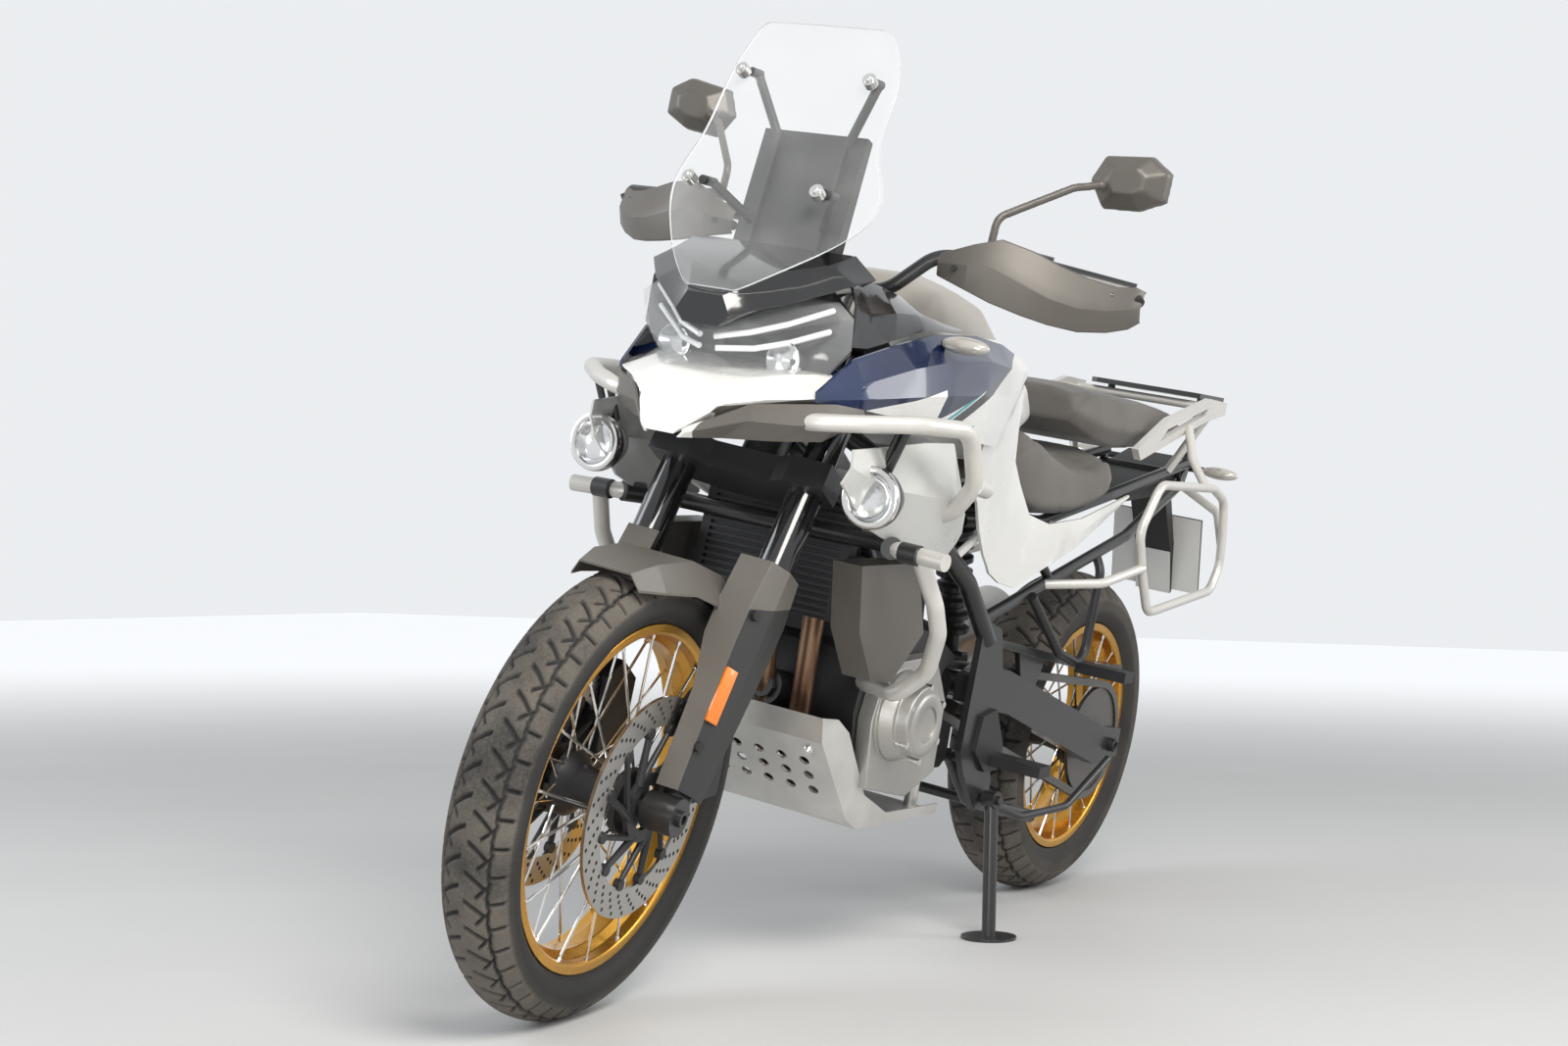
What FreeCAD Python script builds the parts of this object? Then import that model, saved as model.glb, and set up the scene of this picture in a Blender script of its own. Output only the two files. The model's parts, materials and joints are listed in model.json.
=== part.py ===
"""Adventure motorcycle, parked on its side stand.

Every sub-part is drawn upright and straight ahead: X forward from the rear axle, Y to the
rider's left, Z up from the ground. The last section leans the machine on its stand, turns the
steering and writes one file for each sub-part. Lengths are millimetres, angles degrees.
"""
import FreeCAD, Part
import math
import os
import Sketcher
from FreeCAD import Placement, Rotation, Vector

doc = FreeCAD.newDocument("adventure_motorcycle")

# Driving sizes
SIZES = [
    ("wheelbase", 1531, "rear axle to front axle"),
    ("rake_angle", 26, "steering axis from the vertical"),
    ("trail", 105, "ground point of the steering axis ahead of the front contact"),
    ("lean_angle", 10.26, "lean to the left on the side stand"),
    ("parked_steer_angle", 6.69, "steering turned to the left"),
    ("front_tyre_radius", 329, "110/80R19"),
    ("front_tyre_width", 110, ""),
    ("front_rim_radius", 253, "to the edge of the flange"),
    ("front_rim_width", 80, "over the flanges"),
    ("rear_tyre_radius", 321, "150/70R17"),
    ("rear_tyre_width", 150, ""),
    ("rear_rim_radius", 227.5, "to the edge of the flange"),
    ("rear_rim_width", 120, "over the flanges"),
    ("rim_wall", 4, "wall of both rims"),
    ("flange_height", 12, "flange above the bead seat"),
    ("bead_gap", 0.3, "between tyre and rim"),
    ("spoke_radius", 2.1, ""),
    ("spoke_gap", 0.2, "between spoke and rim"),
    ("front_axle_radius", 12, ""),
    ("rear_axle_radius", 13, ""),
    ("axle_bore_radius", 7, "hollow axles, where a paddock stand's pin goes in"),
    ("bearing_gap", 0.3, "between a shaft and what turns on it"),
    ("front_disc_radius", 160, ""),
    ("front_disc_offset", 75, "centre plane to the middle of a disc"),
    ("rear_disc_radius", 130, ""),
    ("rear_disc_offset", 84, ""),
    ("disc_thickness", 5, ""),
    ("chain_offset", 92, "centre plane to the middle of the chain"),
    ("chain_width", 16, ""),
    ("chain_height", 14, ""),
    ("chain_pitch", 15.9, "from pin to pin; the loop takes the nearest even number of links"),
    ("chain_roller_radius", 5, ""),
    ("rear_sprocket_radius", 112, "pitch radius"),
    ("front_sprocket_radius", 41, "pitch radius"),
    ("fork_offset", 32, "steering axis to the leg's axis"),
    ("fork_spread", 107, "centre plane to the leg's axis"),
    ("fork_outer_radius", 27, ""),
    ("fork_slider_radius", 21.5, ""),
    ("steering_stem_radius", 15, ""),
    ("head_tube_radius", 34, ""),
    ("head_tube_length", 160, ""),
    ("frame_tube_radius", 16, ""),
    ("subframe_tube_radius", 11, ""),
    ("crash_bar_radius", 13, ""),
    ("handlebar_radius", 11, ""),
    ("grip_radius", 17, ""),
    ("pannier_tube_radius", 8.5, ""),
    ("exhaust_pipe_radius", 17, ""),
    ("silencer_radius", 58, ""),
    ("panel_thickness", 5, "moulded panels"),
    ("sheet_thickness", 4, "bent metal plates"),
    ("screen_thickness", 4, ""),
    ("engine_width", 230, "crankcase without its covers"),
    ("rack_hole_circle", 110, "bolt circle of the rear rack"),
    ("rack_hole_radius", 3.3, ""),
    ("fog_lamp_radius", 45, ""),
    ("fog_lamp_depth", 60, ""),
    ("stand_leg_radius", 12, ""),
    ("stay_radius", 7, "short stays behind the panels and the screen"),
    ("stand_foot_radius", 48, ""),
    ("stand_foot_thickness", 5, ""),
    ("seat_gap", 0.3, "between a fitted piece and its seat"),
    ("overrun", 1, "how far a cut runs past the surface"),
]
sheet = doc.addObject("Spreadsheet::Sheet", "sizes")
for row, (name, value, note) in enumerate(SIZES, start=1):
    sheet.set(f"A{row}", name)
    sheet.set(f"B{row}", str(value))
    sheet.set(f"C{row}", note)
    sheet.setAlias(f"B{row}", name)
doc.recompute()


class Size(float):
    """A length together with the spreadsheet formula that it comes from."""

    def __new__(cls, value, text):
        made = float.__new__(cls, value)
        made.text = text
        return made

    def _join(self, other, sign, value, swap=False):
        other_text = getattr(other, "text", repr(float(other)))
        left, right = (other_text, self.text) if swap else (self.text, other_text)
        return Size(value, f"({left} {sign} {right})")

    def __add__(self, other):
        return self._join(other, "+", float(self) + float(other))

    def __radd__(self, other):
        return self._join(other, "+", float(self) + float(other), True)

    def __sub__(self, other):
        return self._join(other, "-", float(self) - float(other))

    def __rsub__(self, other):
        return self._join(other, "-", float(other) - float(self), True)

    def __mul__(self, other):
        return self._join(other, "*", float(self) * float(other))

    def __rmul__(self, other):
        return self._join(other, "*", float(self) * float(other), True)

    def __truediv__(self, other):
        return self._join(other, "/", float(self) / float(other))

    def __neg__(self):
        return Size(-float(self), f"(-{self.text})")


def size(name):
    return Size(float(sheet.get(name)), f"sizes.{name}")


def bind(item, path, value):
    """Set a property and tie it to the spreadsheet."""
    setattr(item, path, float(value))
    if hasattr(value, "text"):
        item.setExpression(path, value.text)


# The body drawing's grid: the wheelbase in 15.31 parts, so that one part is 100 mm.
# Tables of shares below are places on this grid.
GRID_PARTS = 15.31
grid = size("wheelbase") / GRID_PARTS


def at(x_share, y_share, z_share):
    return Vector(x_share, y_share, z_share) * float(grid)


def on_grid(shares):
    return [(grid * u, grid * v) for u, v in shares]


# Builders shared by all sub-parts
def make_body(name):
    return doc.addObject("PartDesign::Body", name)


def origin_feature(body, role):
    return next(item for item in body.Origin.OriginFeatures if item.Role == role)


def make_sketch(body, role, outlines, offset=None, circles=()):
    """A sketch on an origin plane with closed outlines and circles, all tied to the sheet."""
    sketch = body.newObject("Sketcher::SketchObject", f"{body.Name}_sketch")
    sketch.AttachmentSupport = (origin_feature(body, role), [""])
    sketch.MapMode = "FlatFace"
    if offset is not None:
        sketch.AttachmentOffset = Placement(Vector(0, 0, float(offset)), Rotation())
        if hasattr(offset, "text"):
            sketch.setExpression("AttachmentOffset.Base.z", offset.text)
    lines = []
    constraints = []
    bound = []
    for points in outlines:
        first = len(lines)
        count = len(points)
        for i in range(count):
            start = Vector(float(points[i][0]), float(points[i][1]), 0)
            following = points[(i + 1) % count]
            end = Vector(float(following[0]), float(following[1]), 0)
            lines.append(Part.LineSegment(start, end))
        for i in range(count):
            mate = first + (i + 1) % count
            constraints.append(Sketcher.Constraint("Coincident", first + i, 2, mate, 1))
        for i in range(count):
            for kind, value in zip(("DistanceX", "DistanceY"), points[i]):
                pick = Sketcher.Constraint(kind, -1, 1, first + i, 1, float(value))
                bound.append((len(constraints), value))
                constraints.append(pick)
    for centre_x, centre_y, radius in circles:
        number = len(lines)
        centre = Vector(float(centre_x), float(centre_y), 0)
        lines.append(Part.Circle(centre, Vector(0, 0, 1), float(radius)))
        for kind, value in (("DistanceX", centre_x), ("DistanceY", centre_y)):
            bound.append((len(constraints), value))
            constraints.append(Sketcher.Constraint(kind, -1, 1, number, 3, float(value)))
        bound.append((len(constraints), radius))
        constraints.append(Sketcher.Constraint("Radius", number, float(radius)))
    sketch.addGeometry(lines, False)
    sketch.addConstraint(constraints)
    for number, value in bound:
        if hasattr(value, "text"):
            sketch.setExpression(f"Constraints[{number}]", value.text)
    return sketch


def add_pad(body, sketch, length, midplane=False, backwards=False):
    pad = body.newObject("PartDesign::Pad", f"{body.Name}_pad")
    pad.Profile = (sketch, [""])
    bind(pad, "Length", length)
    pad.Midplane = midplane
    pad.Reversed = backwards
    return pad


def add_pocket(body, sketch, length=None, midplane=True, backwards=False):
    pocket = body.newObject("PartDesign::Pocket", f"{body.Name}_pocket")
    pocket.Profile = (sketch, [""])
    if length is None:
        pocket.Type = "ThroughAll"
    else:
        bind(pocket, "Length", length)
    pocket.Midplane = midplane
    pocket.Reversed = backwards
    return pocket


def add_revolution(body, sketch, axis="H_Axis"):
    turned = body.newObject("PartDesign::Revolution", f"{body.Name}_revolution")
    turned.Profile = (sketch, [""])
    turned.ReferenceAxis = (sketch, [axis])
    return turned


def add_polar(body, feature, role, count):
    pattern = body.newObject("PartDesign::PolarPattern", f"{body.Name}_pattern")
    pattern.Originals = [feature]
    pattern.Axis = (origin_feature(body, role), [""])
    pattern.Angle = 360
    pattern.Occurrences = count
    body.Tip = pattern
    return pattern


def loft_body(name, stations, ruled=True):
    """A loft through closed sections across the machine; each station is (x, outline)."""
    body = make_body(name)
    sketches = [make_sketch(body, "YZ_Plane", [outline], offset=x) for x, outline in stations]
    loft = body.newObject("PartDesign::AdditiveLoft", f"{name}_loft")
    loft.Profile = (sketches[0], [""])
    loft.Sections = [(sketch, [""]) for sketch in sketches[1:]]
    loft.Ruled = ruled
    return body


def mirrored_outline(half):
    """Close a half section, given from the bottom up at positive Y, over the centre plane."""
    return list(half) + [(-y, z) for y, z in reversed(half)]


def symmetric_loft(name, table, ruled=True):
    """A loft over the whole width; each row of the table is x and its half section."""
    stations = [(grid * x, mirrored_outline(on_grid(half))) for x, half in table]
    return loft_body(name, stations, ruled)


def cut(name, base, tools):
    made = doc.addObject("Part::Cut", name)
    made.Base = base
    made.Tool = tools[0] if len(tools) == 1 else fuse(f"{name}_tools", tools)
    return made


def fuse(name, pieces):
    made = doc.addObject("Part::MultiFuse", name)
    made.Shapes = pieces
    return made


def mirror(name, source):
    """The right-hand twin of a left-hand piece."""
    twin = doc.addObject("Part::Mirroring", name)
    twin.Source = source
    twin.Base = Vector(0, 0, 0)
    twin.Normal = Vector(0, 1, 0)
    return twin


def bent_path(points, bend):
    """A wire of straight runs joined by tangent arcs of at most the given radius."""
    edges = []
    start = points[0]
    for before, corner, after in zip(points, points[1:], points[2:]):
        into = (corner - before).normalize()
        out = (after - corner).normalize()
        half_turn = into.getAngle(out) / 2
        room = 0.45 * min((corner - before).Length, (after - corner).Length)
        setback = min(float(bend) * math.tan(half_turn), room)
        arc_start = corner - into * setback
        arc_end = corner + out * setback
        radius = setback / math.tan(half_turn)
        to_middle = (out - into).normalize()
        middle = corner + to_middle * (radius / math.cos(half_turn) - radius)
        edges.append(Part.LineSegment(start, arc_start).toShape())
        edges.append(Part.Arc(arc_start, middle, arc_end).toShape())
        start = arc_end
    edges.append(Part.LineSegment(start, points[-1]).toShape())
    return Part.Wire(edges)


def tube(name, points, radius, bend):
    """A round tube swept along straight runs and bends."""
    path = doc.addObject("Part::Feature", f"{name}_path")
    path.Shape = bent_path(points, bend)
    ring = doc.addObject("Part::Circle", f"{name}_ring")
    bind(ring, "Radius", radius)
    direction = points[1] - points[0]
    ring.Placement = Placement(points[0], Rotation(Vector(0, 0, 1), direction))
    made = doc.addObject("Part::Sweep", name)
    made.Sections = [ring]
    made.Spine = (path, [f"Edge{i + 1}" for i in range(len(path.Shape.Edges))])
    made.Solid = True
    made.Frenet = False
    return made


def cylinder(name, radius, start, end):
    """A plain cylinder between two points."""
    made = doc.addObject("Part::Cylinder", name)
    bind(made, "Radius", radius)
    made.Height = (end - start).Length
    made.Placement = Placement(start, Rotation(Vector(0, 0, 1), end - start))
    return made


def side_plate(name, outlines, inner_y, thickness, circles=()):
    """A flat plate standing along the machine on the left side."""
    body = make_body(name)
    sketch = make_sketch(body, "XZ_Plane", outlines, offset=-inner_y, circles=circles)
    add_pad(body, sketch, thickness, backwards=True)
    return body


# Wheels, drawn about the Y axis at the origin
def make_tyre(name, radius, width, rim_radius, rim_width):
    bead = rim_radius - size("flange_height") + size("bead_gap")
    bead_half = rim_width / 2 - size("rim_wall") - size("bead_gap")
    half = width / 2
    crown = radius - half
    side_shares = [(1.0, 0.0), (0.985, 0.26), (0.9, 0.5), (0.76, 0.7), (0.55, 0.86), (0.28, 0.965)]
    outline = [(bead_half, bead), (bead_half, rim_radius + size("rim_wall"))]
    outline += [(half * u, crown + half * v) for u, v in side_shares]
    outline += [(half * 0, radius)]
    outline += [(-y, r) for y, r in reversed(outline[:-1])]
    body = make_body(name)
    add_revolution(body, make_sketch(body, "YZ_Plane", [outline]))
    return body


def make_rim(name, rim_radius, rim_width):
    wall = size("rim_wall")
    half = rim_width / 2
    seat = rim_radius - size("flange_height")
    well_depth = size("flange_height")
    outer = [
        (half, rim_radius),
        (half - wall, rim_radius),
        (half - wall, seat),
        (half * 0.62, seat - wall / 4),
        (half * 0.36, seat - well_depth),
    ]
    inner = [
        (half * 0.3, seat - well_depth - wall),
        (half * 0.6, seat - wall * 1.4),
        (half - wall * 0.6, seat - wall),
        (half, seat),
    ]
    outline = outer + [(-y, r) for y, r in reversed(outer)]
    outline += [(-y, r) for y, r in reversed(inner)] + inner
    body = make_body(name)
    add_revolution(body, make_sketch(body, "YZ_Plane", [outline]))
    return body


def make_hub(name, half_width, barrel, flange, flange_offset, rim_radius, axle, spokes):
    """Hub with its crossed spokes: they leave the flanges and reach the rim's middle."""
    bore = axle + size("bearing_gap")
    thick = size("rim_wall")
    outline = [
        (-half_width, bore),
        (half_width, bore),
        (half_width, barrel * 0.9),
        (flange_offset + thick, barrel),
        (flange_offset + thick, flange),
        (flange_offset, flange),
        (flange_offset - thick, barrel),
        (-flange_offset + thick, barrel),
        (-flange_offset, flange),
        (-flange_offset - thick, flange),
        (-flange_offset - thick, barrel),
        (-half_width, barrel * 0.9),
    ]
    body = make_body(f"{name}_barrel")
    add_revolution(body, make_sketch(body, "YZ_Plane", [outline]))
    doc.recompute()
    tip_radius = float(rim_radius - size("flange_height") * 2 - size("rim_wall")
                       - size("spoke_gap") - size("spoke_radius") * 0.25)
    root_radius = float(flange - thick / 2)
    tip_offset = float(size("rim_wall"))
    wires = []
    for side in (-1, 1):
        for number in range(spokes):
            lean = 38 if number % 2 else -38
            root_angle = 360.0 / spokes * (number + side * 0.25)
            tip_angle = root_angle + lean
            root = Vector(0, side * float(flange_offset), root_radius)
            tip = Vector(0, side * tip_offset, tip_radius)
            root = Rotation(Vector(0, 1, 0), root_angle).multVec(root)
            tip = Rotation(Vector(0, 1, 0), tip_angle).multVec(tip)
            run = tip - root
            wires.append(Part.makeCylinder(float(size("spoke_radius")), run.Length, root, run))
    spoke_set = doc.addObject("Part::Feature", f"{name}_spokes")
    spoke_set.Shape = Part.makeCompound(wires)
    return body, spoke_set


def make_disc(name, radius, inner, offset, hole_count):
    body = make_body(name)
    half = size("disc_thickness") / 2
    outline = [(offset - half, inner), (offset + half, inner), (offset + half, radius),
               (offset - half, radius)]
    add_revolution(body, make_sketch(body, "YZ_Plane", [outline]))
    window = make_sketch(body, "XZ_Plane", [], circles=[(radius * 0.6, radius * 0, radius * 0.15)])
    window_pocket = add_pocket(body, window)
    add_polar(body, window_pocket, "Y_Axis", 6)
    hole = make_sketch(body, "XZ_Plane", [], circles=[(radius * 0.9, radius * 0, radius * 0.022)])
    pocket = add_pocket(body, hole)
    add_polar(body, pocket, "Y_Axis", hole_count)
    return body


# Steering geometry: n runs forward and square to the steering axis, d runs up along it
rake = math.radians(float(size("rake_angle")))
axis_up = Vector(-math.sin(rake), 0, math.cos(rake))
axis_forward = Vector(math.cos(rake), 0, math.sin(rake))
axis_foot = Vector(float(size("wheelbase") + size("trail")), 0, 0)
front_axle = Vector(float(size("wheelbase")), 0, float(size("front_tyre_radius")))
rear_axle = Vector(0, 0, float(size("rear_tyre_radius")))
spread = Vector(0, float(size("fork_spread")), 0)


def along_fork(n, y, d):
    """A point from its distance ahead of the steering axis, to the left and up the axis."""
    return axis_foot + axis_forward * float(n) + axis_up * float(d) + Vector(0, float(y), 0)


def both_sides(name, make):
    """Make a left-hand piece with the given builder and its mirrored twin."""
    left = make(f"{name}_l")
    return [left, mirror(f"{name}_r", left)]


nodes = []


def node(label, pieces, body):
    """One sub-part: its solids, and the moving body that carries it."""
    group = doc.addObject("Part::Compound", label)
    group.Label = label
    group.Links = pieces
    nodes.append((group, body))
    return group


# Front wheel
front_tyre = make_tyre("front_tyre_ring", size("front_tyre_radius"), size("front_tyre_width"),
                       size("front_rim_radius"), size("front_rim_width"))
front_rim = make_rim("front_rim_ring", size("front_rim_radius"), size("front_rim_width"))
front_hub_half = size("front_disc_offset") - size("disc_thickness") / 2
front_hub, front_spokes = make_hub(
    "front_hub", front_hub_half, size("front_axle_radius") * 2.6, size("front_axle_radius") * 4,
    front_hub_half * 0.45, size("front_rim_radius"), size("front_axle_radius"), 18)
front_hub_body = fuse("front_hub_body", [front_hub, front_spokes])
front_disc = make_disc("front_disc_ring", size("front_disc_radius"),
                       size("front_axle_radius") * 1.8, size("front_disc_offset"), 24)
front_disc_twin = mirror("front_disc_twin", front_disc)
node("front_tyre", [front_tyre], "front_wheel")
node("front_rim", [front_rim], "front_wheel")
node("front_hub", [front_hub_body], "front_wheel")
node("front_discs", [front_disc, front_disc_twin], "front_wheel")

# Rear wheel
rear_tyre = make_tyre("rear_tyre_ring", size("rear_tyre_radius"), size("rear_tyre_width"),
                      size("rear_rim_radius"), size("rear_rim_width"))
rear_rim = make_rim("rear_rim_ring", size("rear_rim_radius"), size("rear_rim_width"))
rear_hub_half = size("rear_disc_offset") - size("disc_thickness") / 2
rear_hub, rear_spokes = make_hub(
    "rear_hub", rear_hub_half, size("rear_axle_radius") * 2.8, size("rear_axle_radius") * 4.2,
    rear_hub_half * 0.42, size("rear_rim_radius"), size("rear_axle_radius"), 18)
rear_hub_body = fuse("rear_hub_body", [rear_hub, rear_spokes])
rear_disc_left = make_disc("rear_disc_ring", size("rear_disc_radius"),
                           size("rear_axle_radius") * 1.8, size("rear_disc_offset"), 18)
rear_disc = mirror("rear_disc_right", rear_disc_left)
chain_drop = size("chain_height") / 2 + size("seat_gap")


def make_sprocket(name, radius, bore, inner, outer):
    body = make_body(name)
    outline = [(inner, bore), (outer, bore), (outer, radius), (inner, radius)]
    add_revolution(body, make_sketch(body, "YZ_Plane", [outline]))
    return body


sprocket_outer = size("chain_offset") + size("chain_width") / 4
rear_sprocket = make_sprocket("rear_sprocket_ring", size("rear_sprocket_radius") - chain_drop,
                              size("rear_axle_radius") * 2,
                              size("chain_offset") - size("chain_width") / 4, sprocket_outer)
sprocket_carrier = make_sprocket("sprocket_carrier_ring", size("rear_axle_radius") * 4,
                                 size("rear_axle_radius") + size("bearing_gap"),
                                 rear_hub_half, sprocket_outer)
node("rear_tyre", [rear_tyre], "rear_wheel")
node("rear_rim", [rear_rim], "rear_wheel")
node("rear_hub", [rear_hub_body], "rear_wheel")
rear_sprocket_body = fuse("rear_sprocket_body", [rear_sprocket, sprocket_carrier])
node("rear_disc_sprocket", [rear_disc, rear_sprocket_body], "rear_wheel")

# Fork, clamps and front axle
leg_n = float(size("fork_offset"))
leg_y = float(size("fork_spread"))
axle_d = (front_axle - axis_foot).dot(axis_up)
slider_bottom = axle_d
outer_bottom = float(grid) * 5.7
outer_top = float(grid) * 11.15
lower_clamp_d = float(grid) * 8.55
upper_clamp_d = float(grid) * 10.85
clamp_height = float(grid) * 0.3


def fork_outer(name):
    return cylinder(name, size("fork_outer_radius"), along_fork(leg_n, leg_y, outer_bottom),
                    along_fork(leg_n, leg_y, outer_top))


fork_outers = both_sides("fork_outer", fork_outer)


def fork_slider(name):
    leg = cylinder(f"{name}_leg", size("fork_slider_radius"),
                   along_fork(leg_n, leg_y, slider_bottom),
                   along_fork(leg_n, leg_y, outer_bottom - float(size("seat_gap"))))
    lug_half = float(size("fork_slider_radius")) * 1.15
    lug = cylinder(f"{name}_lug", size("fork_slider_radius") * 1.3,
                   front_axle + Vector(0, leg_y - lug_half, 0),
                   front_axle + Vector(0, leg_y + lug_half, 0))
    whole = fuse(f"{name}_whole", [leg, lug])
    bore = cylinder(f"{name}_bore", size("front_axle_radius") + size("seat_gap") / 3,
                    front_axle, front_axle + spread * 2)
    return cut(name, whole, [bore])


fork_sliders = both_sides("fork_slider", fork_slider)


def clamp_plate(name, low, height, half_width_share):
    """A triple clamp: a rounded plate square to the steering axis, bored for legs and stem."""
    corner = leg_y + float(size("fork_outer_radius")) * half_width_share
    back = -float(size("head_tube_radius"))
    front = leg_n + float(size("fork_outer_radius")) * half_width_share
    outline = [(back, leg_y * 0.3), (back * 0.6, leg_y), (leg_n * 0.3, corner), (front, corner),
               (front, leg_y * 0.75), (front * 0.75, leg_y * 0.5)]
    outline += [(n, -y) for n, y in reversed(outline)]
    wire = Part.makePolygon([along_fork(n, y, low) for n, y in outline + outline[:1]])
    plate = doc.addObject("Part::Feature", f"{name}_plate")
    plate.Shape = Part.Face(wire).extrude(axis_up * height)
    bores = [
        cylinder(f"{name}_bore_{side}", size("fork_outer_radius") + size("seat_gap") / 3,
                 along_fork(leg_n, side * leg_y, low - height),
                 along_fork(leg_n, side * leg_y, low + height * 2))
        for side in (-1, 1)
    ]
    return cut(name, plate, bores)


lower_clamp = clamp_plate("lower_clamp", lower_clamp_d, clamp_height * 1.4, 1.45)
upper_clamp = clamp_plate("upper_clamp", upper_clamp_d, clamp_height, 1.35)
stem = cylinder("steering_stem", size("steering_stem_radius"),
                along_fork(0, 0, lower_clamp_d + clamp_height / 2),
                along_fork(0, 0, upper_clamp_d + clamp_height / 2))
bar_centre = at(11.18, 0, 10.95)


def bar_riser(name):
    foot = along_fork(leg_n * 0.2, leg_y * 0.25, upper_clamp_d + clamp_height * 0.8)
    head = bar_centre + Vector(0, leg_y * 0.25, float(size("handlebar_radius")) * 1.6)
    post = cylinder(f"{name}_post", size("handlebar_radius") * 1.5, foot, head)
    hole = cylinder(f"{name}_hole", size("handlebar_radius") + size("seat_gap") / 3,
                    bar_centre, bar_centre + spread)
    return cut(name, post, [hole])


risers = both_sides("bar_riser", bar_riser)
clamps = fuse("clamps_body", [lower_clamp, upper_clamp, stem] + risers)
axle_reach = leg_y + float(size("fork_slider_radius")) * 1.5
front_axle_rod = cylinder("front_axle_rod", size("front_axle_radius"),
                          front_axle - Vector(0, axle_reach, 0),
                          front_axle + Vector(0, axle_reach, 0))
front_axle_hole = cylinder("front_axle_hole", size("axle_bore_radius"),
                           front_axle - Vector(0, axle_reach * 1.1, 0),
                           front_axle + Vector(0, axle_reach * 1.1, 0))
front_axle_tube = cut("front_axle_tube", front_axle_rod, [front_axle_hole])
node("fork_outer_tubes", fork_outers, "steering")
node("triple_clamps", [clamps], "steering")
node("fork_sliders", fork_sliders + [front_axle_tube], "steering")

# Handlebar with its controls
bar_shares = [(11.18, 0, 10.95), (11.18, 0.85, 10.95), (10.95, 1.5, 11.68), (10.55, 3.0, 11.78),
              (10.14, 4.36, 11.70)]
bar_points = [at(x, y, z) for x, y, z in bar_shares]
bar_bend = float(grid) * 0.6
bar_left = tube("bar_left", bar_points, size("handlebar_radius"), bar_bend)
handlebar = fuse("handlebar_body", [bar_left, mirror("bar_right", bar_left)])
grip_start = bar_points[3] + (bar_points[4] - bar_points[3]) * 0.12
grip_end = bar_points[4] + (bar_points[4] - bar_points[3]) * 0.03


def grip(name):
    rubber = cylinder(f"{name}_rubber", size("grip_radius"), grip_start, grip_end)
    switch_start = bar_points[3] - (bar_points[4] - bar_points[3]) * 0.25
    switches = cylinder(f"{name}_switches", size("grip_radius") * 1.35, switch_start, grip_start)
    lever_shares = [(11.0, 2.45, 11.75), (10.98, 2.8, 11.72), (10.5, 4.2, 11.6)]
    lever = tube(f"{name}_lever", [at(x, y, z) for x, y, z in lever_shares],
                 size("handlebar_radius") * 0.6, float(grid) * 0.3)
    perch = cylinder(f"{name}_perch", size("handlebar_radius"), switch_start,
                     at(*lever_shares[0]))
    whole = fuse(f"{name}_whole", [rubber, switches, lever, perch])
    hole = tube(f"{name}_hole", bar_points, size("handlebar_radius") + size("seat_gap") / 3,
                bar_bend)
    return cut(name, whole, [hole])


controls = both_sides("controls", grip)
node("handlebar", [handlebar] + controls, "steering")


# Hand guards: a curved shell ahead of each grip, held at the bar's end
def hand_guard(name):
    row_shares = [
        (1.9, [(11.48, 11.68), (11.55, 11.52), (11.45, 11.36)]),
        (2.6, [(11.38, 12.08), (11.6, 11.6), (11.38, 11.15)]),
        (3.6, [(11.12, 11.95), (11.32, 11.5), (11.1, 10.98)]),
        (4.35, [(10.62, 11.88), (10.82, 11.5), (10.6, 11.12)]),
        (4.58, [(10.12, 11.82), (10.2, 11.55), (10.14, 11.24)]),
    ]
    wires = []
    wall = Vector(-float(size("panel_thickness")), 0, 0)
    for y, row in row_shares:
        ring = [at(x, y, z) for x, z in row]
        depth = wall if y < 4 else wall * 2
        ring += [point + depth for point in reversed(ring)]
        wires.append(Part.makePolygon(ring + ring[:1]))
    shell = doc.addObject("Part::Feature", f"{name}_shell")
    shell.Shape = Part.makeLoft(wires, True, True)
    along_bar = (bar_points[4] - bar_points[3]).normalize()
    end = cylinder(f"{name}_end", size("handlebar_radius"),
                   grip_end + along_bar * float(size("handlebar_radius")),
                   at(10.32, 4.54, 11.6))
    return fuse(name, [shell, end])


hand_guards = [cut(f"hand_guard_clear_{i}", guard, [handlebar, controls[i]])
               for i, guard in enumerate(both_sides("hand_guard", hand_guard))]
node("hand_guards", hand_guards, "steering")


# Mirrors: stem from the bar, faceted housing with the glass facing back
def bar_mirror(name):
    stem_shares = [(11.0, 2.32, 11.7), (10.95, 2.32, 12.4), (10.1, 3.1, 13.1),
                   (9.75, 3.45, 13.25)]
    stalk = tube(f"{name}_stalk", [at(x, y, z) for x, y, z in stem_shares],
                 size("handlebar_radius") * 0.6, float(grid) * 0.25)
    back_shares = [(3.12, 13.3), (3.3, 13.72), (4.05, 13.82), (4.4, 13.6), (4.4, 13.15),
                   (4.0, 12.95), (3.4, 12.9)]
    face = [at(9.45, y, z) for y, z in back_shares]
    middle = Vector()
    for point in face:
        middle += point * (1 / len(face))
    shoulder = [middle + (point - middle) * 0.93 + at(0.2, 0, 0) for point in face]
    nose = [middle + (point - middle) * 0.45 + at(0.42, 0, 0) for point in face]
    wires = [Part.makePolygon(ring + ring[:1]) for ring in (face, shoulder, nose)]
    housing = doc.addObject("Part::Feature", f"{name}_housing")
    housing.Shape = Part.makeLoft(wires, True, True)
    return fuse(name, [stalk, housing])


mirrors = [cut(f"bar_mirror_clear_{i}", glass, [handlebar, controls[i]])
           for i, glass in enumerate(both_sides("bar_mirror", bar_mirror))]
node("mirrors", mirrors, "steering")


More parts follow.
